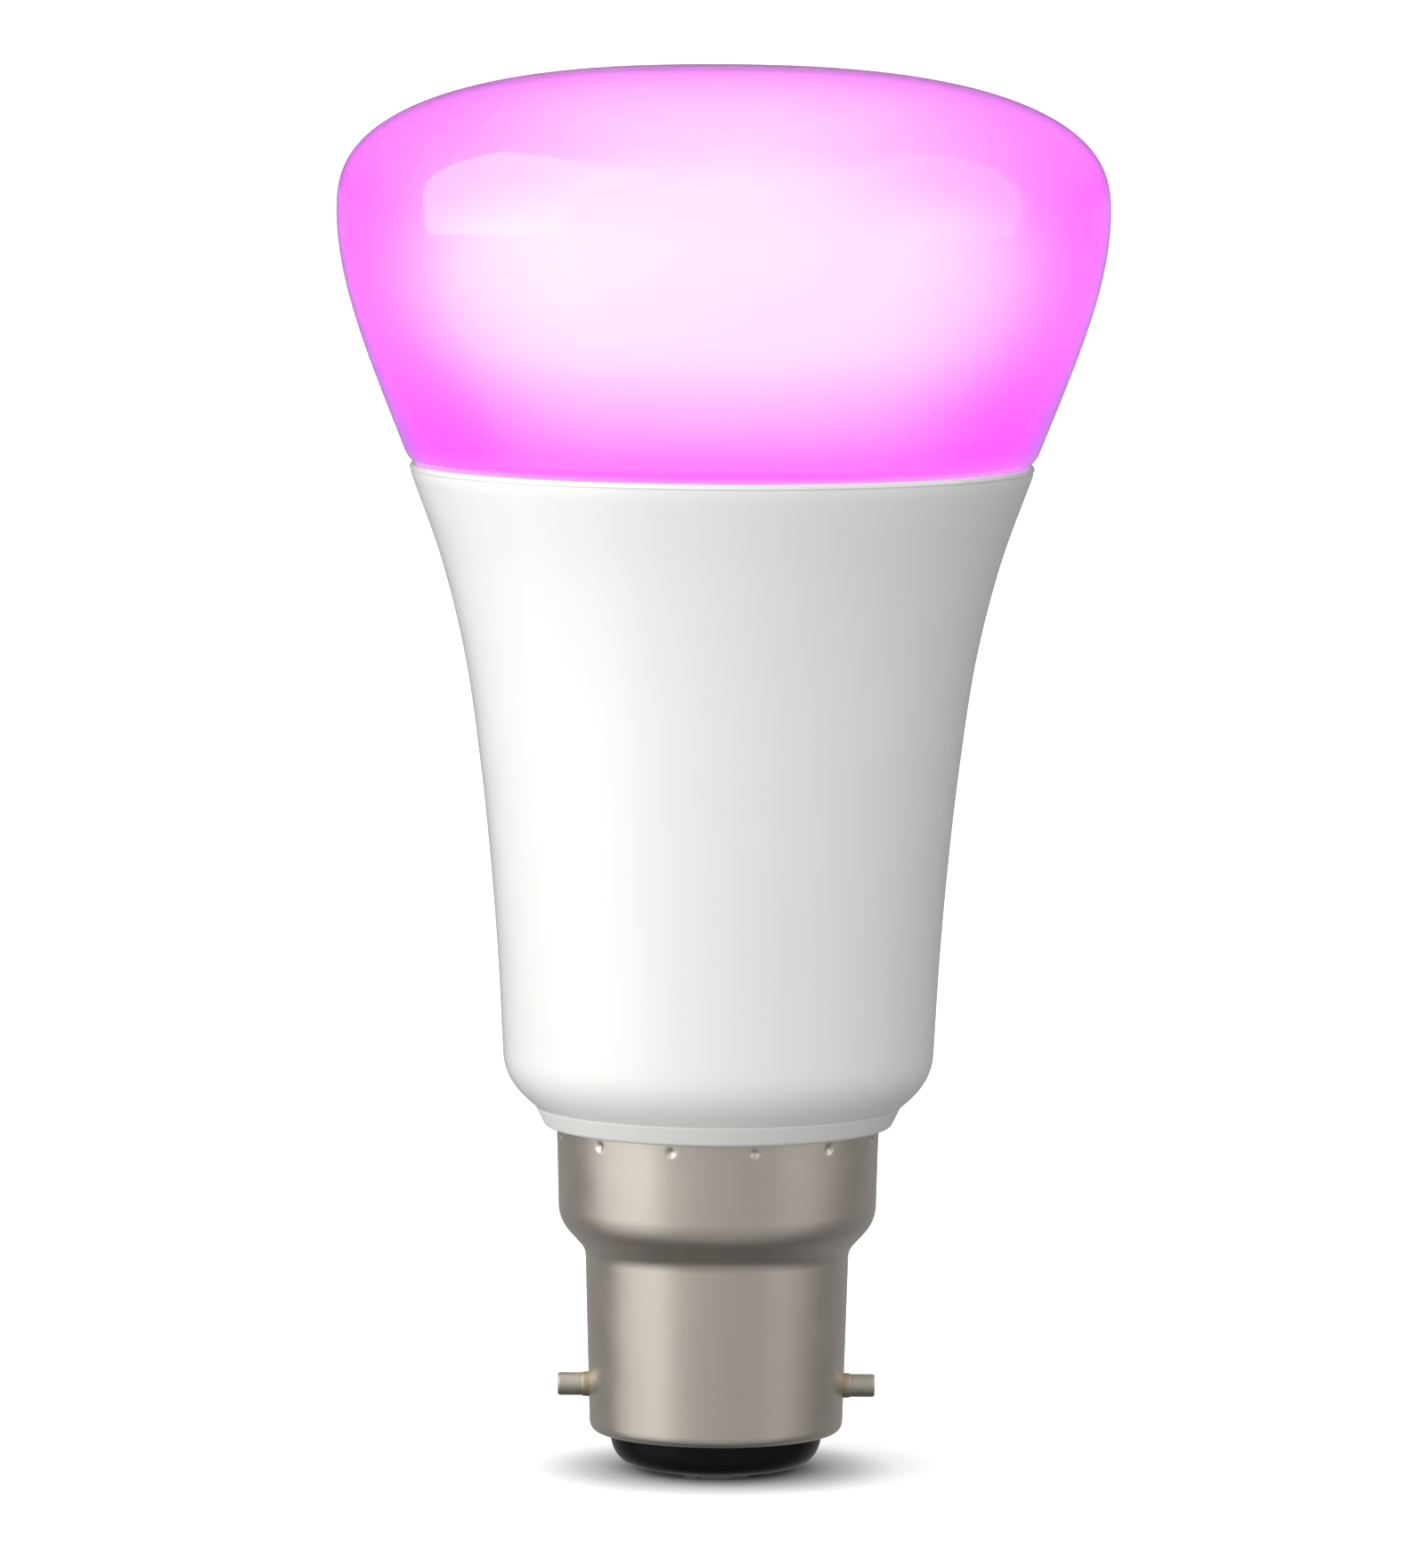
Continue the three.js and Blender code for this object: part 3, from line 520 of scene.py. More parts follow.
def sleeve_material(node):
    """A dark blue sleeve with a pale stripe down one side, and the can's bare end."""
    t = Finish(f"{node}_sleeve")
    low, high = map(Vector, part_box(node))
    middle = (low + high) / 2
    spot = t.spot()
    aside = t.minus(spot["X"], middle.x)
    outward = t.product(t.minus(spot["Y"], middle.y), math.copysign(1, middle.y))
    stripe_slope, stripe_width, end_depth, end_radius = 0.6, 0.0008, 0.0004, 0.002
    stripe = t.near(aside, t.product(outward, stripe_slope), stripe_width)
    stripe = t.product(stripe, t.over(outward, 0.0))
    end = t.product(t.over(spot["Z"], high.z - end_depth), t.under(t.hypot(aside, outward), end_radius))
    tone = t.mix(t.noise(500), (0.018, 0.035, 0.11), (0.012, 0.024, 0.08))
    tone = t.mix(end, t.mix(stripe, tone, (0.55, 0.57, 0.60)), (0.62, 0.63, 0.64))
    return t.surface(tone, (700, 0.25, 0.4), t.grain(1500), Metallic=end)


RESISTOR_BANDS = [  # place along the body, colour
    (-0.0022, (0.30, 0.10, 0.03)),
    (-0.0008, (0.02, 0.02, 0.02)),
    (0.0006, (0.02, 0.02, 0.02)),
    (0.0021, (0.45, 0.30, 0.06)),
]
BAND_HALF_WIDTH, LACQUER_END = 0.0003, 0.0031


def resistor_material():
    """Green-grey lacquer with four colour bands, and tinned leads."""
    t = Finish("resistor_lacquer")
    low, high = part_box("fuse_resistor")
    along = t.minus(t.spot()["X"], (low[0] + high[0]) / 2)
    tone = t.mix(t.noise(600), (0.20, 0.36, 0.30), (0.15, 0.28, 0.23))
    for place, colour in RESISTOR_BANDS:
        tone = t.mix(t.near(along, place, BAND_HALF_WIDTH), tone, colour)
    leads = t.over(t.math("ABSOLUTE", along), LACQUER_END)
    tone = t.mix(leads, tone, (0.74, 0.74, 0.73))
    return t.surface(tone, (900, 0.3, 0.5), t.grain(1800), Metallic=leads)


def tape_material():
    """Yellow polyester tape with the faint edge of each turn."""
    t = Finish("yellow_tape")
    edges = t.stripes(t.spot()["Z"], 0.0012, 0.08)
    tone = t.mix(edges, (0.84, 0.60, 0.08), (0.55, 0.36, 0.04))
    tone = t.scaled(tone, t.spread(t.noise(500), 0.9, 1.05))
    return t.surface(tone, (700, 0.2, 0.35), t.bump(edges, 0.00003))


# ---------------- mesh helpers
CLOSE = 1e-6  # lengths under this count as nothing
SHARP = math.radians(40)  # edges that turn by more than this are shaded sharp


def rounded(corners, steps=6):
    """The points of an outline of (radius, height) or (radius, height, rounding) corners."""
    points = []
    for i, corner in enumerate(corners):
        here = Vector(corner[:2])
        if len(corner) < 3:
            points.append(here)
            continue
        sides = corners[i - 1], corners[(i + 1) % len(corners)]
        before, after = [here + (Vector(side[:2]) - here).normalized() * corner[2] for side in sides]
        for k in range(steps + 1):
            s = k / steps
            points.append(before * (1 - s) ** 2 + here * 2 * s * (1 - s) + after * s * s)
    return points


def bezier(a, b, c, d, steps):
    """Points on a cubic curve, from a to d."""
    a, b, c, d = map(Vector, (a, b, c, d))
    return [a * (1 - s) ** 3 + b * 3 * s * (1 - s) ** 2 + c * 3 * s * s * (1 - s) + d * s ** 3
            for s in (k / steps for k in range(steps + 1))]


def spline(knots, steps):
    """Points on a smooth curve through the knots."""
    points = []
    for i in range(len(knots) - 1):
        p1, p2 = Vector(knots[i]), Vector(knots[i + 1])
        p0 = Vector(knots[i - 1]) if i else 2 * p1 - p2
        p3 = Vector(knots[i + 2]) if i + 2 < len(knots) else 2 * p2 - p1
        for k in range(steps):
            s = k / steps
            points.append(0.5 * (2 * p1 + (p2 - p0) * s + (2 * p0 - 5 * p1 + 4 * p2 - p3) * s * s
                                 + (3 * p1 - p0 - 3 * p2 + p3) * s ** 3))
    return [*points, Vector(knots[-1])]


def crown(radius, low, top, roundness, steps):
    """A quarter superellipse from its widest ring up to the axis."""
    power = 2 / roundness
    points = []
    for k in range(steps):
        s = math.pi / 2 * k / steps
        points.append(Vector((radius * math.cos(s) ** power, low + (top - low) * math.sin(s) ** power)))
    return [*points, Vector((0, top))]


def turn(build, outline, segments=64, place=None, shift=None):
    """Adds a solid turned about Z. shift(x, y, z) may move a point, and place then sets it in the bulb."""
    closed = outline[0].x > CLOSE or outline[-1].x > CLOSE
    rings = []
    for p in outline:
        angles = [2 * math.pi * i / segments for i in range(segments if p.x > CLOSE else 1)]
        points = [(p.x * math.cos(a), p.x * math.sin(a), p.y) for a in angles]
        if shift:
            points = [shift(*q) for q in points]
        if place:
            points = [place @ Vector(q) for q in points]
        rings.append([build.verts.new(q) for q in points])
    for one, two in zip(rings, rings[1:] + ([rings[0]] if closed else [])):
        for i in range(segments):
            j = (i + 1) % segments
            corners = [one[i % len(one)], one[j % len(one)], two[j % len(two)], two[i % len(two)]]
            corners = list(dict.fromkeys(corners))
            if len(corners) > 2:
                build.faces.new(corners)


def slab(build, low, high, bevel=0.1, segments=2):
    """Adds a block with softened edges."""
    low, high = Vector(low), Vector(high)
    place = Matrix.LocRotScale((low + high) / 2, None, high - low)
    made = bmesh.ops.create_cube(build, size=1, matrix=place)
    if bevel:
        soften(build, {edge for vert in made["verts"] for edge in vert.link_edges}, bevel, segments)


def prism(build, corners, low, high, bevel=0.0, place=None):
    """Adds a flat outline drawn up between two heights, with softened rims."""
    levels = []
    for z in (low, high):
        points = [Vector((x, y, z)) for x, y in corners]
        levels.append([build.verts.new(place @ q if place else q) for q in points])
    bottom, top = levels
    rims = [build.faces.new(bottom[::-1]), build.faces.new(top)]
    for i in range(len(corners)):
        j = (i + 1) % len(corners)
        build.faces.new([bottom[i], bottom[j], top[j], top[i]])
    if bevel:
        soften(build, {edge for rim in rims for edge in rim.edges}, bevel, 2)


def cross(build, reach, half_width, low, high, place):
    """Adds an upright cross with four arms."""
    corners = [(reach, -half_width), (reach, half_width), (half_width, half_width)]
    for _ in range(3):
        corners += [(-y, x) for x, y in corners[-3:]]
    prism(build, corners, low, high, place=place)


def strip(length, width, steps=12):
    """The corners of a strip along X with round ends."""
    radius = width / 2
    middle = length / 2 - radius
    corners = []
    for side, start in ((1, -math.pi / 2), (-1, math.pi / 2)):
        for k in range(steps + 1):
            a = start + math.pi * k / steps
            corners.append((side * middle + radius * math.cos(a), radius * math.sin(a)))
    return corners


def soften(build, edges, radius, segments):
    bmesh.ops.bevel(build, geom=list(edges), offset=radius, segments=segments, profile=0.5,
                    affect="EDGES", clamp_overlap=True)


def paint(build, index):
    """Gives the material of that index to the faces that have none yet."""
    for face in build.faces:
        if not face.tag:
            face.material_index, face.tag = index, True


def mark_sharp(build):
    """Shades faces smoothly, except across edges that turn by more than SHARP."""
    for face in build.faces:
        face.smooth = True
    for edge in build.edges:
        edge.smooth = len(edge.link_faces) != 2 or edge.calc_face_angle(0) < SHARP


def solid(name, build):
    """An object of what has been built in millimetres."""
    bmesh.ops.recalc_face_normals(build, faces=build.faces)
    mark_sharp(build)
    bmesh.ops.scale(build, vec=(MM, MM, MM), verts=build.verts)
    mesh = bpy.data.meshes.new(name)
    build.to_mesh(mesh)
    build.free()
    return link(name, mesh)


def lathe(name, outline, segments=192, shift=None):
    build = bmesh.new()
    turn(build, outline, segments, shift=shift)
    return solid(name, build)


def cut(piece, build):
    """Takes the solids that have been built in millimetres out of a piece."""
    tool = solid("tool", build)
    change = piece.modifiers.new("cut", "BOOLEAN")
    change.operation, change.solver, change.object, change.use_self = "DIFFERENCE", "EXACT", tool, True
    bpy.context.view_layer.update()
    view = bpy.context.evaluated_depsgraph_get()
    piece.data = bpy.data.meshes.new_from_object(piece.evaluated_get(view))
    piece.modifiers.clear()
    bpy.data.objects.remove(tool)
    again = bmesh.new()
    again.from_mesh(piece.data)
    mark_sharp(again)
    again.to_mesh(piece.data)
    again.free()
    return piece


def opened(mesh, gap):
    """A mesh to build on in millimetres, with points closer than a gap joined."""
    build = bmesh.new()
    build.from_mesh(mesh)
    bmesh.ops.scale(build, vec=[1 / MM] * 3, verts=build.verts)
    bmesh.ops.remove_doubles(build, verts=build.verts, dist=gap)
    return build


def softened(name, node, radius):
    """A copy of a CAD node's solid with its hard edges rounded off."""
    build = opened(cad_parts[node].data, 0.001)
    bmesh.ops.dissolve_limit(build, angle_limit=math.radians(1), verts=build.verts, edges=build.edges)
    hard = [e for e in build.edges if len(e.link_faces) == 2 and e.calc_face_angle(0) > math.radians(30)]
    soften(build, hard, radius, 2)
    return solid(name, build)


def span(node):
    """A node's lowest and highest corners, in millimetres."""
    low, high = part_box(node)
    return Vector(low) / MM, Vector(high) / MM


def upright(node, z=0):
    """A frame that stands on a node's own axis at a height."""
    low, high = span(node)
    return Matrix.Translation((*((low + high) / 2).xy, z))


def lying(x, y, z):
    """A frame at a point whose Z axis points along Y."""
    return Matrix.Translation((x, y, z)) @ Matrix.Rotation(-math.pi / 2, 4, "X")


def link(name, mesh):
    made = bpy.data.objects.new(name, mesh)
    bpy.context.scene.collection.objects.link(made)
    return made


def dress(piece, material, slot, node, *more_materials):
    """Gives a piece its materials and its body, and hides the CAD node that it stands for; the slot is not
    used.
    """
    piece.data.materials.clear()
    for each in (material, *more_materials):
        piece.data.materials.append(each)
    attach(piece, "root")
    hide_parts(node)


# ---------------- outer pieces
FLARE = [(18.3, 36), (18.75, 44), (19.4, 52), (20.3, 60.3), (21.6, 69.2), (23.6, 77.4), (26.3, 85)]


def flare_face(inset, low, high, count):
    """Points up the body's flare between two heights, moved in by inset."""
    curve = spline(FLARE, 16)
    points = []
    for k in range(count + 1):
        z = low + (high - low) * k / count
        i = next(i for i in range(1, len(curve)) if curve[i].y >= z - CLOSE)
        share = (z - curve[i - 1].y) / (curve[i].y - curve[i - 1].y)
        points.append(Vector((curve[i - 1].lerp(curve[i], share).x - inset, z)))
    return points


def make_dome():
    """The opal shell, with a spigot that sits inside the body's rim."""
    def face(inset, steps):
        wide = 32.66 - inset
        side = bezier((26.9 - inset, 87.1), (30.1 - inset, 95.1), (wide, 101.2), (wide, 107.2), steps)
        return side + crown(wide, 107.2, 119.4 - inset, 2.5, steps)[1:]

    edge = bezier((25.9, 85.85), (26.2, 85.95), (26.65, 86.4), (26.9, 87.1), 8)
    outer = edge[:-1] + face(0, 40)
    inner = [p for p in face(1.7, 24) if p.y > 87.0][::-1]
    spigot = [Vector(p) for p in ((22.6, 86.7), (22.6, 83.3), (23.9, 83.3), (23.9, 85.85))]
    # from the top, down the outside, round the spigot and up the inside
    dome = lathe("dome", outer[::-1] + spigot[::-1] + inner[::-1], 256)
    dome.visible_diffuse = False
    dress(dome, dome_material(), "dome_opal", "diffuser_dome")


def make_mixer():
    def face(inset):
        wide = 26.4 - inset
        side = bezier((15.4 - inset, 83.3), (16.2 - inset, 92), (wide, 95.5), (wide, 102.5), 20)
        return side + crown(wide, 102.5, 112.5 - inset, 2.3, 24)[1:]

    mixer = lathe("mixer", face(0)[::-1] + face(1.0), 96)
    mixer.visible_diffuse = False
    dress(mixer, mixer_material(), "mixer_opal", "mixing_diffuser")


def make_body():
    foot = bezier((15.5, 31.2), (17.2, 32.6), (18.25, 33.8), (18.3, 36), 14)
    outer = foot + spline(FLARE, 10)[1:]
    rim = rounded([(26.45, 85.35, 0.15), (26.35, 85.75, 0.15), (25.95, 85.85, 0.1), (24.2, 85.6)], 4)
    inner = [Vector((24.2, 82.6))] + flare_face(1.6, 37, 82.6, 24)[::-1]
    start = [Vector(p) for p in ((15.4, 33.4), (14.3, 32.8), (14.3, 31.2))]
    body = lathe("body", outer + rim + inner + start, 256)
    dress(body, housing_material(), "housing_white", "housing")


def make_cup():
    outline = rounded([
        (11.55, 22.6), (12.75, 22.6, 0.3), (12.75, 27.6, 0.2), (12.05, 28.1, 0.1), (12.05, 29.47),
        (14.2, 29.47, 0.1), (14.75, 29.6, 0.25), (15.5, 31.1, 0.1), (15.5, 31.3), (13.9, 31.3),
        (13.9, 74, 0.3), (12.7, 74, 0.3), (12.7, 30.9), (10.85, 28.15), (10.85, 27.6),
    ])
    dress(lathe("cup", outline, 192), collar_material(), "cup_white", "driver_cup")


CRIMPS = [math.radians(13.3 + 30 * i) for i in range(12)]
CRIMP_Z, CRIMP_DEPTH, CRIMP_RADIUS, CRIMP_REACH = 28.8, 0.18, 0.32, 0.7


def crimp_shift(x, y, z):
    """Presses a small round dimple into the skirt at each crimp mark."""
    if abs(z - CRIMP_Z) > CRIMP_REACH:
        return x, y, z
    radius = math.hypot(x, y)
    angle = math.atan2(y, x)
    near = min(CRIMPS, key=lambda a: abs(math.remainder(angle - a, 2 * math.pi)))
    across = math.remainder(angle - near, 2 * math.pi) * radius
    distance = math.hypot(across, z - CRIMP_Z)
    depth = CRIMP_DEPTH * math.exp(-(distance / CRIMP_RADIUS) ** 2.6)
    scale = 1 - depth / radius
    return x * scale, y * scale, z


def make_cap():
    def corners(inset):
        return [
            (9.3, 3.3 + inset), (10.75 - inset, 3.3 + inset, 0.95 - inset),
            (11.2 - inset, 18.95 + inset / 2, 0.7), (13.48 - inset, 21.45 + inset / 2, 1.3),
            (13.62 - inset, 27.2), (13.7 - inset, 29.4),
        ]

    outer = rounded(corners(0), 8)
    band = [outer[-2].lerp(outer[-1], k / 22) for k in range(1, 22)]
    outline = outer[:-1] + band + [outer[-1]] + rounded(corners(0.45), 5)[::-1]
    cap = lathe("cap", outline, 720, crimp_shift)
    dress(cap, nickel_material(), "cap_nickel", "cap_shell")


def make_pin(name, node, side):
    outline = rounded([
        (0, 9.5), (1.3, 9.5, 0.1), (1.3, 10.1), (1.0, 10.1), (1.0, 10.75), (1.07, 10.85, 0.04),
        (1.05, 11.35, 0.05), (0.98, 11.42, 0.04), (0.98, 13.38, 0.1), (0.86, 13.5, 0.06), (0, 13.5),
    ], 4)
    pin = lathe(name, outline, 64)
    pin.data.transform(Matrix.Translation((0, 0, 7.2 * MM)) @ Matrix.Rotation(side * math.pi / 2, 4, "Y"))
    dress(pin, pin_material(), "cap_nickel", node)


def make_insulator():
    bowl = bezier((6, 0.35), (8.1, 0.4), (8.9, 1.4), (9.05, 3.3), 16)
    outline = [Vector((0, 0.35)), *bowl]
    outline += rounded([(9.05, 3.75), (9.95, 4.75, 0.1), (9.95, 5.6, 0.2), (0, 5.6)], 4)
    recesses = bmesh.new()
    for node in ("contact_live", "contact_neutral"):
        place = upright(node)
        prism(recesses, strip(5.9, 3.5), -1, 1.05, place=place)
        turn(recesses, rounded([(0, 0.9), (1.65, 0.9), (1.65, 8), (0, 8)]), 48, place)
    slab(recesses, (-5.4, -0.55, -1), (5.4, 0.55, 0.85), 0.15)
    insulator = cut(lathe("insulator", outline, 192), recesses)
    dress(insulator, insulator_material(), "cap_black", "cap_insulator")


def make_contact(node):
    """A pressed pad with a rounded rim and the rolled eyelet that its wire is soldered into."""
    place = upright(node)
    build = bmesh.new()
    prism(build, strip(5.6, 3.2), 0, 0.9, 0.22, place)
    turn(build, rounded([(0.75, 0.8), (1.5, 0.8), (1.5, 6, 0.2), (0.75, 6, 0.15)]), 40, place)
    dress(solid(f"{node}_pad", build), contact_material(), "contact_tin", node)


def make_wire(name, node, side, material):
    """An insulated lead up from its eyelet, with its bare end turned in to the driver board."""
    sleeve = spline([(0, 4.1, 1.2), (0, 4.1, 7.5), (1.8, 3.7, 11), (4.6, 2.5, 14.5), (5.4, 1.9, 18.5)], 10)
    bare = spline([(5.3, 1.95, 18.1), (5.5, 1.7, 19.2), (5.5, 0.9, 19.8)], 5)
    curve = bpy.data.curves.new(name, "CURVE")
    curve.dimensions = "3D"
    curve.bevel_depth, curve.bevel_resolution, curve.use_fill_caps = 0.6 * MM, 5, True
    for points, share in ((sleeve, 1.0), (bare, 0.5)):
        line = curve.splines.new("POLY")
        line.points.add(len(points) - 1)
        for knot, p in zip(line.points, points):
            knot.co = (*(Vector((side * p.x, side * p.y, p.z)) * MM), 1)
            knot.radius = share
    laid = link(f"{name}_line", curve)
    bpy.context.view_layer.update()
    mesh = bpy.data.meshes.new_from_object(laid.evaluated_get(bpy.context.evaluated_depsgraph_get()))
    bpy.data.objects.remove(laid)
    dress(solid(name, opened(mesh, 0.01)), material, name, node)


# ---------------- heat sink and light engine
SCREWS = [f"led_screw_{i}" for i in (1, 2, 3)]


def screw_holes(build, radius, low, high):
    for node in SCREWS:
        turn(build, rounded([(0, low), (radius, low), (radius, high), (0, high)]), 40, upright(node))


def make_heat_sink():
    outline = flare_face(1.9, 37, 81.6, 24) + flare_face(3.1, 78.8, 81.6, 3)[::-1]
    outline += [Vector((15.2, 78.8)), Vector((15.2, 77.6))] + flare_face(3.1, 37, 77.6, 20)[::-1]
    holes = bmesh.new()
    screw_holes(holes, 1.3, 76, 80)
    sink = cut(lathe("heat_sink_shell", outline, 128), holes)
    dress(sink, aluminium_material("spun_aluminium"), "aluminium", "heat_sink")


def make_disc(name, node, slot, material, bevel, hole, room):
    """A round plate with screw holes, and slots for the pin header and the radio's antenna."""
    low, high = span(node)
    outline = rounded([(0, low.z), (high.x, low.z, bevel), (high.x, high.z, bevel), (0, high.z)], 3)
    openings = bmesh.new()
    screw_holes(openings, 1.15 + hole, low.z - 1, high.z + 1)
    for y, half_x, half_y in ((0, 7, 1.25), (6.4, 5.5, 0.4)):
        reach = Vector((half_x + room, half_y + room, 0))
        slab(openings, Vector((0, y, low.z - 1)) - reach, Vector((0, y, high.z + 1)) + reach, 0)
    dress(cut(lathe(name, outline, 128), openings), material, slot, node)


def make_screw(node):
    """A threaded screw with a pan head and a cross recess."""
    low, high = span(node)
    face = high.z - 1.3
    thread = [p for k in range(10) for p in ((1.15, low.z + 0.45 + 0.5 * k), (0.9, low.z + 0.7 + 0.5 * k))]
    outline = rounded([
        (0, low.z), (0.6, low.z, 0.1), *thread, (1.15, face), (2.2, face, 0.12), (2.2, face + 0.6, 0.42),
        (1.5, high.z, 0.4), (0, high.z),
    ], 4)
    place = upright(node)
    build, recess = bmesh.new(), bmesh.new()
    turn(build, outline, 40, place)
    cross(recess, 1.25, 0.25, high.z - 0.7, high.z + 1, place)
    dress(cut(solid(f"{node}_steel", build), recess), tin_material(), "tin_plate", node)


def make_led(node, material, slot):
    """A moulded carrier with a raised rim round its lens."""
    low, high = span(node)
    place = upright(node, low.z) @ Matrix.Rotation(math.atan2(low.y + high.y, low.x + high.x), 4, "Z")
    build = bmesh.new()
    half = 1.6
    prism(build, [(-half, -half), (half, -half), (half, half), (-half, half)], 0, 0.5, 0.08, place)
    turn(build, rounded([(1.18, 0.45), (1.4, 0.45), (1.4, 0.62, 0.06), (1.18, 0.62, 0.06)], 3), 40, place)
    lens = bezier((1.15, 0.45), (1.0, 0.75), (0.5, 0.85), (0, 0.85), 10)
    turn(build, [Vector((0, 0.42)), Vector((1.15, 0.42)), *lens], 40, place)
    dress(solid(f"{node}_package", build), material, slot, node)


def make_reflector():
    low, high = span("reflector_ring")
    outline = rounded([
        (15.9, low.z), (21.9, low.z, 0.2), (21.9, high.z, 0.2), (21.2, high.z, 0.2),
        (19.7, low.z + 1.2, 0.8), (15.9, low.z + 0.8, 0.2),
    ])
    pockets = bmesh.new()
    screw_holes(pockets, 2.35, low.z - 1, high.z + 1)
    ring = cut(lathe("reflector", outline, 128), pockets)
    white = plastic("reflector_white", (0.93, 0.93, 0.92), (0.90, 0.90, 0.89), (0.5, 0.7), 400)
    dress(ring, white, "reflector_white", "reflector_ring")


def make_seal():
    """The bead of adhesive under the dome's spigot, with the slight waves of a dispensed bead."""
    low, high = span("dome_seal")

    def wave(x, y, z):
        angle = math.atan2(y, x)
        scale = 1 - 0.0012 * (1 + math.sin(23 * angle) * math.sin(7 * angle))
        return x * scale, y * scale, z

    corners = (22.6, low.z), (24.05, low.z), (24.05, high.z), (22.6, high.z)
    outline = rounded([(*corner, 0.15) for corner in corners], 3)
    silicone = plastic("seal_silicone", (0.80, 0.82, 0.81), (0.74, 0.76, 0.75), (0.35, 0.55), 250, 0.00005)
    dress(lathe("seal_bead", outline, 192, wave), silicone, "seal_silicone", "dome_seal")


# ---------------- driver components
def make_capacitor(node):
    """A sleeved can with a rolled seal, and a scored vent in its bare end."""
    low, high = span(node)
    radius, length = (high.x - low.x) / 2, high.z - low.z
    place = upright(node, low.z)
    outline = rounded([
        (0, 0.3), (radius - 1.0, 0.3, 0.1), (radius - 0.8, 0, 0.15), (radius, 0, 0.35), (radius, 1.3, 0.2),
        (radius - 0.4, 1.9, 0.3), (radius, 2.5, 0.2), (radius, length, 0.5), (radius - 0.9, length, 0.1),
        (radius - 1.1, length - 0.15, 0.08), (0, length - 0.15),
    ], 4)
    build, score = bmesh.new(), bmesh.new()
    turn(build, outline, 64, place)
    cross(score, radius - 1.4, 0.08, length - 0.3, length + 1, place)
    can = cut(solid(f"{node}_can", build), score)
    dress(can, sleeve_material(node), "capacitor_sleeve", node)


def lead(build, low, high, board_side):
    """A gull-wing lead: from the body, and down to a foot on the board. board_side is the board's y."""
    slab(build, low, high, 0.04)
    ends = sorted((low.y, board_side))
    outer = low.x if abs(low.x) > abs(high.x) else high.x - 0.2
    slab(build, (outer, ends[0], low.z), (outer + 0.2, ends[1], high.z), 0.04)


def package(node, build, black, dimple=None):
    """A black moulding whose bare metal is the second material."""
    made = solid(f"{node}_package", build)
    if dimple:
        made = cut(made, dimple)
    dress(made, black, "black_plastic", node, tin_material())


def make_chip(node, leads, width, black):
    """A moulded package with leads along two sides and a dimple by its first lead."""
    low, high = span(node)
    side = 1 if low.y > 0 else -1
    board = low.y if side > 0 else high.y
    body_low, body_high = low + Vector((0.7, 0, 0)), high - Vector((0.7, 0, 0))
    if side > 0:
        body_low.y += 0.15
    else:
        body_high.y -= 0.15
    build, dimple = bmesh.new(), bmesh.new()
    slab(build, body_low, body_high, 0.14, 3)
    paint(build, 0)
    pitch = (high.z - low.z) / leads
    middle = (body_low.y + body_high.y) / 2
    for i in range(leads):
        z = low.z + pitch * (i + 0.5)
        for x0, x1 in ((low.x, body_low.x + 0.1), (body_high.x - 0.1, high.x)):
            ends = Vector((x0, middle - 0.1, z - width / 2)), Vector((x1, middle + 0.1, z + width / 2))
            lead(build, *ends, board)
    paint(build, 1)
    face = high.y if side > 0 else low.y
    spot = Matrix.Translation((body_low.x + 0.7, face, body_high.z - 0.7))
    sunk = rounded([(0, -0.08), (0.25, -0.08), (0.3, 0.08), (0, 0.08)])
    turn(dimple, sunk, 24, spot @ Matrix.Rotation(math.pi / 2, 4, "X"))
    package(node, build, black, dimple)


def make_power_package(node, black):
    """A power package: a moulded body on a metal tab, with three legs."""
    low, high = span(node)
    build = bmesh.new()
    slab(build, low + Vector((0, 0.25, 1.0)), high - Vector((0, 0, 0.8)), 0.2, 3)
    paint(build, 0)
    slab(build, (low.x + 0.4, low.y, high.z - 4.0), (high.x - 0.4, low.y + 0.5, high.z), 0.06)
    for k, reach in ((-1, 1.2), (0, 0.6), (1, 1.2)):
        x = (low.x + high.x) / 2 + k * 1.9
        top = low.z + 1.2
        slab(build, (x - 0.35, low.y + 0.6, top - reach), (x + 0.35, low.y + 1.0, top), 0.06)
    paint(build, 1)
    package(node, build, black)


def make_diode(node, black):
    """A moulded block with a tab folded under each end."""
    low, high = span(node)
    build = bmesh.new()
    slab(build, low + Vector((0, 0.2, 0.3)), high - Vector((0, 0, 0.3)), 0.18, 3)
    paint(build, 0)
    for reach, y0, y1 in ((0.9, 0, 0.3), (0.25, 0.1, 1.1)):
        for z in (low.z, high.z - reach):
            slab(build, (low.x + 0.7, low.y + y0, z), (high.x - 0.7, low.y + y1, z + reach), 0.06)
    paint(build, 1)
    package(node, build, black)


def make_flat_chip(node, black):
    """A leadless chip with a row of pads along each edge."""
    low, high = span(node)
    build = bmesh.new()
    slab(build, low + Vector((0.05, 0, 0.05)), high - Vector((0.05, 0.08, 0.05)), 0.1, 3)
    paint(build, 0)
    for i in range(6):
        at = low.x + 0.75 + 0.7 * i
        up = low.z + 0.75 + 0.7 * i
        y0, y1 = high.y - 0.2, high.y
        for a, b in (
            ((at - 0.15, y0, low.z), (at + 0.15, y1, low.z + 0.3)),
            ((at - 0.15, y0, high.z - 0.3), (at + 0.15, y1, high.z)),
            ((low.x, y0, up - 0.15), (low.x + 0.3, y1, up + 0.15)),
            ((high.x - 0.3, y0, up - 0.15), (high.x, y1, up + 0.15)),
        ):
            slab(build, a, b, 0.03, 1)
    paint(build, 1)
    package(node, build, black)


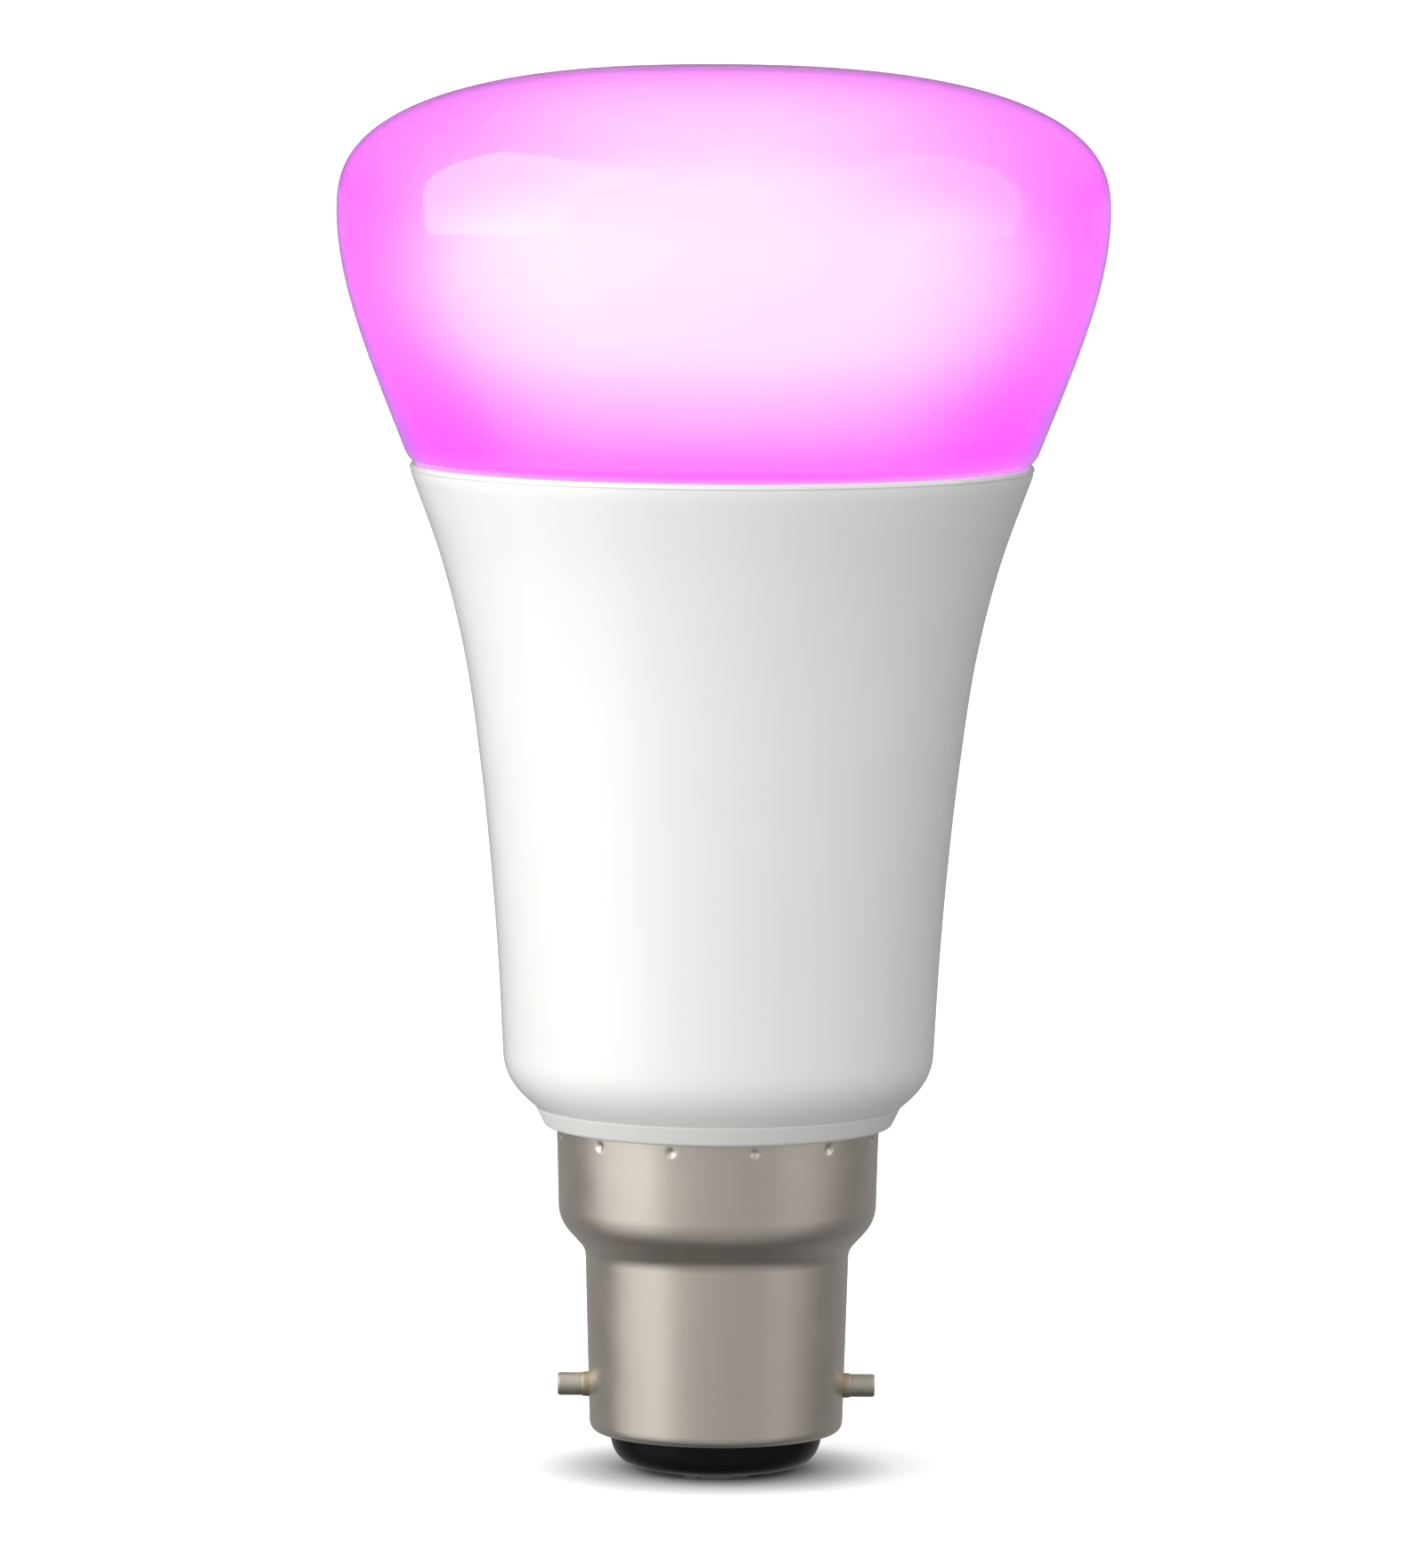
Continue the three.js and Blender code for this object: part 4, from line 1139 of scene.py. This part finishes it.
def make_channel_inductor(node, core, copper):
    """A square ferrite base with a round drum on its face and a turn of copper round that."""
    low, high = span(node)
    middle = (low + high) / 2
    face = high.y - 0.35
    place = lying(middle.x, face, middle.z)
    build = bmesh.new()
    slab(build, low, (high.x, face, high.z), 0.45, 4)
    turn(build, rounded([(0, -0.1), (2.1, -0.1), (2.1, 0.35, 0.12), (0, 0.35)]), 64, place)
    paint(build, 0)
    turn(build, rounded([(2.12, -0.1), (2.5, -0.1), (2.5, 0.12, 0.1), (2.12, 0.12, 0.1)]), 64, place)
    paint(build, 1)
    dress(solid(f"{node}_drum", build), core, "ferrite", node, copper)


def make_input_inductor(core, copper):
    """A drum core on its side, wound with enamelled wire between its flanges."""
    node = "input_inductor"
    low, high = span(node)
    middle, radius, length = (low + high) / 2, (high.x - low.x) / 2, high.y - low.y
    place = lying(middle.x, low.y, middle.z)
    build = bmesh.new()
    turn(build, rounded([
        (0, 0), (radius, 0, 0.2), (radius, 0.9, 0.2), (2.2, 0.9), (2.2, length - 0.9),
        (radius, length - 0.9, 0.2), (radius, length, 0.2), (0.7, length, 0.1), (0.7, length - 0.4),
        (0, length - 0.4),
    ], 4), 64, place)
    paint(build, 0)
    turns = 13
    wire = (length - 2.0) / (2 * turns)
    coil = [Vector((2.9 + wire * math.sin(a), 1.0 + wire * (2 * i + 1 - math.cos(a))))
            for i in range(turns) for a in (math.pi * k / 6 for k in range(6))]
    closing = [Vector((2.9, length - 1.0)), Vector((2.3, length - 1.0)), Vector((2.3, 1.0))]
    turn(build, coil + closing, 64, place)
    paint(build, 1)
    dress(solid("input_choke", build), core, "ferrite", node, copper)


def make_varistor(material):
    """A disc dipped in epoxy, thicker in the middle and a little lumpy."""
    node = "varistor"
    low, high = span(node)
    middle, radius, depth = (low + high) / 2, (high.x - low.x) / 2, high.y - low.y
    place = lying(middle.x, low.y, middle.z)

    def lumps(x, y, z):
        scale = 1 - 0.012 * (1 + math.sin(1.9 * x + 0.7) * math.cos(2.3 * y + 1.1))
        return x * scale, y * scale, z

    build = bmesh.new()
    turn(build, rounded([
        (0, 0.05), (radius * 0.75, 0.25, 0.4), (radius, 0.5, 0.5), (radius, depth - 0.5, 0.5),
        (radius * 0.75, depth - 0.2, 0.4), (0, depth),
    ]), 64, place, lumps)
    paint(build, 0)
    for x in (-1.8, 1.8):
        turn(build, rounded([(0, 0), (0.3, 0), (0.3, 0.55), (0, 0.55)]), 24,
             lying(middle.x + x, high.y - 0.5, low.z + 0.9))
    paint(build, 1)
    dress(solid("surge_disc", build), material, "varistor_blue", node, tin_material())


def make_resistor():
    """A dog-bone body along X with a stub of lead at each end."""
    node = "fuse_resistor"
    low, high = span(node)
    middle, radius = (low + high) / 2, (high.y - low.y) / 2
    place = Matrix.Translation((low.x, middle.y, middle.z)) @ Matrix.Rotation(math.pi / 2, 4, "Y")
    half = [(0, 0), (0.3, 0, 0.05), (0.3, 0.85), (1.1, 0.85, 0.25), (radius, 1.3, 0.4), (radius, 2.4, 0.3),
            (radius - 0.25, 2.8, 0.3)]
    length = high.x - low.x
    mirrored = [(c[0], length - c[1], *c[2:]) for c in half][::-1]
    build = bmesh.new()
    turn(build, rounded(half + mirrored, 4), 48, place)
    dress(solid("fuse_resistor_body", build), resistor_material(), "resistor_green", node)


FILM_LEAD_Z = 29.2  # the underside of the film capacitor's leads


def make_film_capacitor(material):
    """A potted box with a moulded rim round its open side and a stub of lead at each end."""
    node = "film_capacitor"
    low, high = span(node)
    build = bmesh.new()
    slab(build, low + Vector((0, 0.3, 0)), high, 0.4, 4)
    slab(build, (low.x + 0.5, low.y + 0.05, low.z + 0.5), (high.x - 0.5, low.y + 0.6, high.z - 0.5), 0.12)
    paint(build, 0)
    for x in (low.x + 1.5, high.x - 1.5):
        slab(build, (x - 0.3, low.y - 0.05, FILM_LEAD_Z), (x + 0.3, low.y + 0.3, FILM_LEAD_Z + 0.6), 0.1)
    paint(build, 1)
    dress(solid("film_box", build), material, "film_yellow", node, tin_material())


def make_winding():
    """Layers of tape wound over the transformer's coil."""
    low, high = span("transformer_winding")
    outer, bore = (high.x - low.x) / 2, 4.02
    edge = [(outer - 0.06 * (k % 2), low.z + 0.15 + (high.z - low.z - 0.3) * k / 12) for k in range(13)]
    build = bmesh.new()
    rims = (outer - 0.12, low.z), *edge, (outer - 0.12, high.z)
    turn(build, rounded([(bore, low.z), *rims, (bore, high.z)]), 64, upright("transformer_winding"))
    dress(solid("tape_layers", build), tape_material(), "winding_tape", "transformer_winding")


def make_inside():
    for node in ("contact_live", "contact_neutral"):
        make_contact(node)
    brown = plastic("brown_pvc", (0.13, 0.05, 0.022), (0.09, 0.033, 0.014))
    blue = plastic("blue_pvc", (0.03, 0.09, 0.36), (0.02, 0.06, 0.27))
    make_wire("wire_brown", "live_wire", 1, brown)
    make_wire("wire_blue", "neutral_wire", -1, blue)

    make_heat_sink()
    rolled = aluminium_material("rolled_aluminium")
    make_disc("spreader", "spreader_plate", "aluminium", rolled, 0.15, 0.15, 0.8)
    gap_pad = plastic("gap_pad", (0.36, 0.47, 0.57), (0.30, 0.40, 0.50), (0.8, 0.95), 500, 0.00004)
    make_disc("pad", "thermal_pad", "gap_pad", gap_pad, 0.1, 0.4, 1.0)
    make_disc("light_board", "led_board", "board_white", led_board_material(), 0.08, 0.25, 0.4)
    for node in SCREWS:
        make_screw(node)
    for colour, tone in LED_TONES.items():
        material = led_material(colour, tone)
        for i in (1, 2, 3):
            make_led(f"led_{colour}_{i}", material, f"led_{colour}")
    make_reflector()
    make_seal()

    board = board_material()
    black = plastic("moulding_black", (0.028, 0.028, 0.03), (0.016, 0.016, 0.018), (0.4, 0.6), 700, 0.00002)
    tin = tin_material()
    ferrite = plastic("ferrite_grey", (0.075, 0.075, 0.082), (0.03, 0.03, 0.034),
                      (0.55, 0.8), 1500, 0.00003)
    copper = plastic("warm_copper", (0.83, 0.47, 0.30), (0.64, 0.33, 0.20), (0.3, 0.45), 800, Metallic=1.0)
    socket = plastic("socket_nylon", (0.80, 0.79, 0.75), (0.74, 0.73, 0.69), (0.35, 0.5))
    # node, slot, material, and how far its edges are rounded off
    for node, slot, material, radius in (
        ("driver_board", "board_green", board, 0.1),
        ("radio_board", "board_green", board, 0.08),
        ("board_header", "black_plastic", black, 0.12),
        ("header_socket", "cup_white", socket, 0.12),
        ("radio_shield", "tin_plate", tin, 0.3),
        ("antenna_trace", "antenna_copper", copper, 0.04),
        ("transformer_core", "ferrite", ferrite, 0.25),
        ("transformer_bobbin", "black_plastic", black, 0.1),
    ):
        dress(softened(f"{node}_soft", node, radius), material, slot, node)
    make_winding()
    for node in ("bulk_capacitor", "output_capacitor_1", "output_capacitor_2"):
        make_capacitor(node)
    make_chip("controller_ic", 4, 0.4, black)
    make_chip("bridge_rectifier", 2, 0.8, black)
    make_power_package("power_transistor", black)
    make_diode("output_diode", black)
    make_flat_chip("led_driver_ic", black)
    for node in ("channel_inductor_1", "channel_inductor_2"):
        make_channel_inductor(node, ferrite, copper)
    make_input_inductor(ferrite, copper)
    make_varistor(plastic("blue_epoxy", (0.04, 0.13, 0.40), (0.025, 0.09, 0.30), (0.25, 0.4), 300, 0.00003))
    make_resistor()
    make_film_capacitor(plastic("yellow_resin", (0.80, 0.52, 0.08), (0.70, 0.43, 0.05), (0.35, 0.5)))


make_camera()
make_world()
make_floor()
for box in SOFTBOXES:
    make_softbox(*box)
bpy.context.scene.view_settings.view_transform = "Standard"

make_dome()
make_mixer()
make_body()
make_cup()
make_cap()
make_pin("pin_left", "bayonet_pin_left", -1)
make_pin("pin_right", "bayonet_pin_right", 1)
make_insulator()
make_inside()
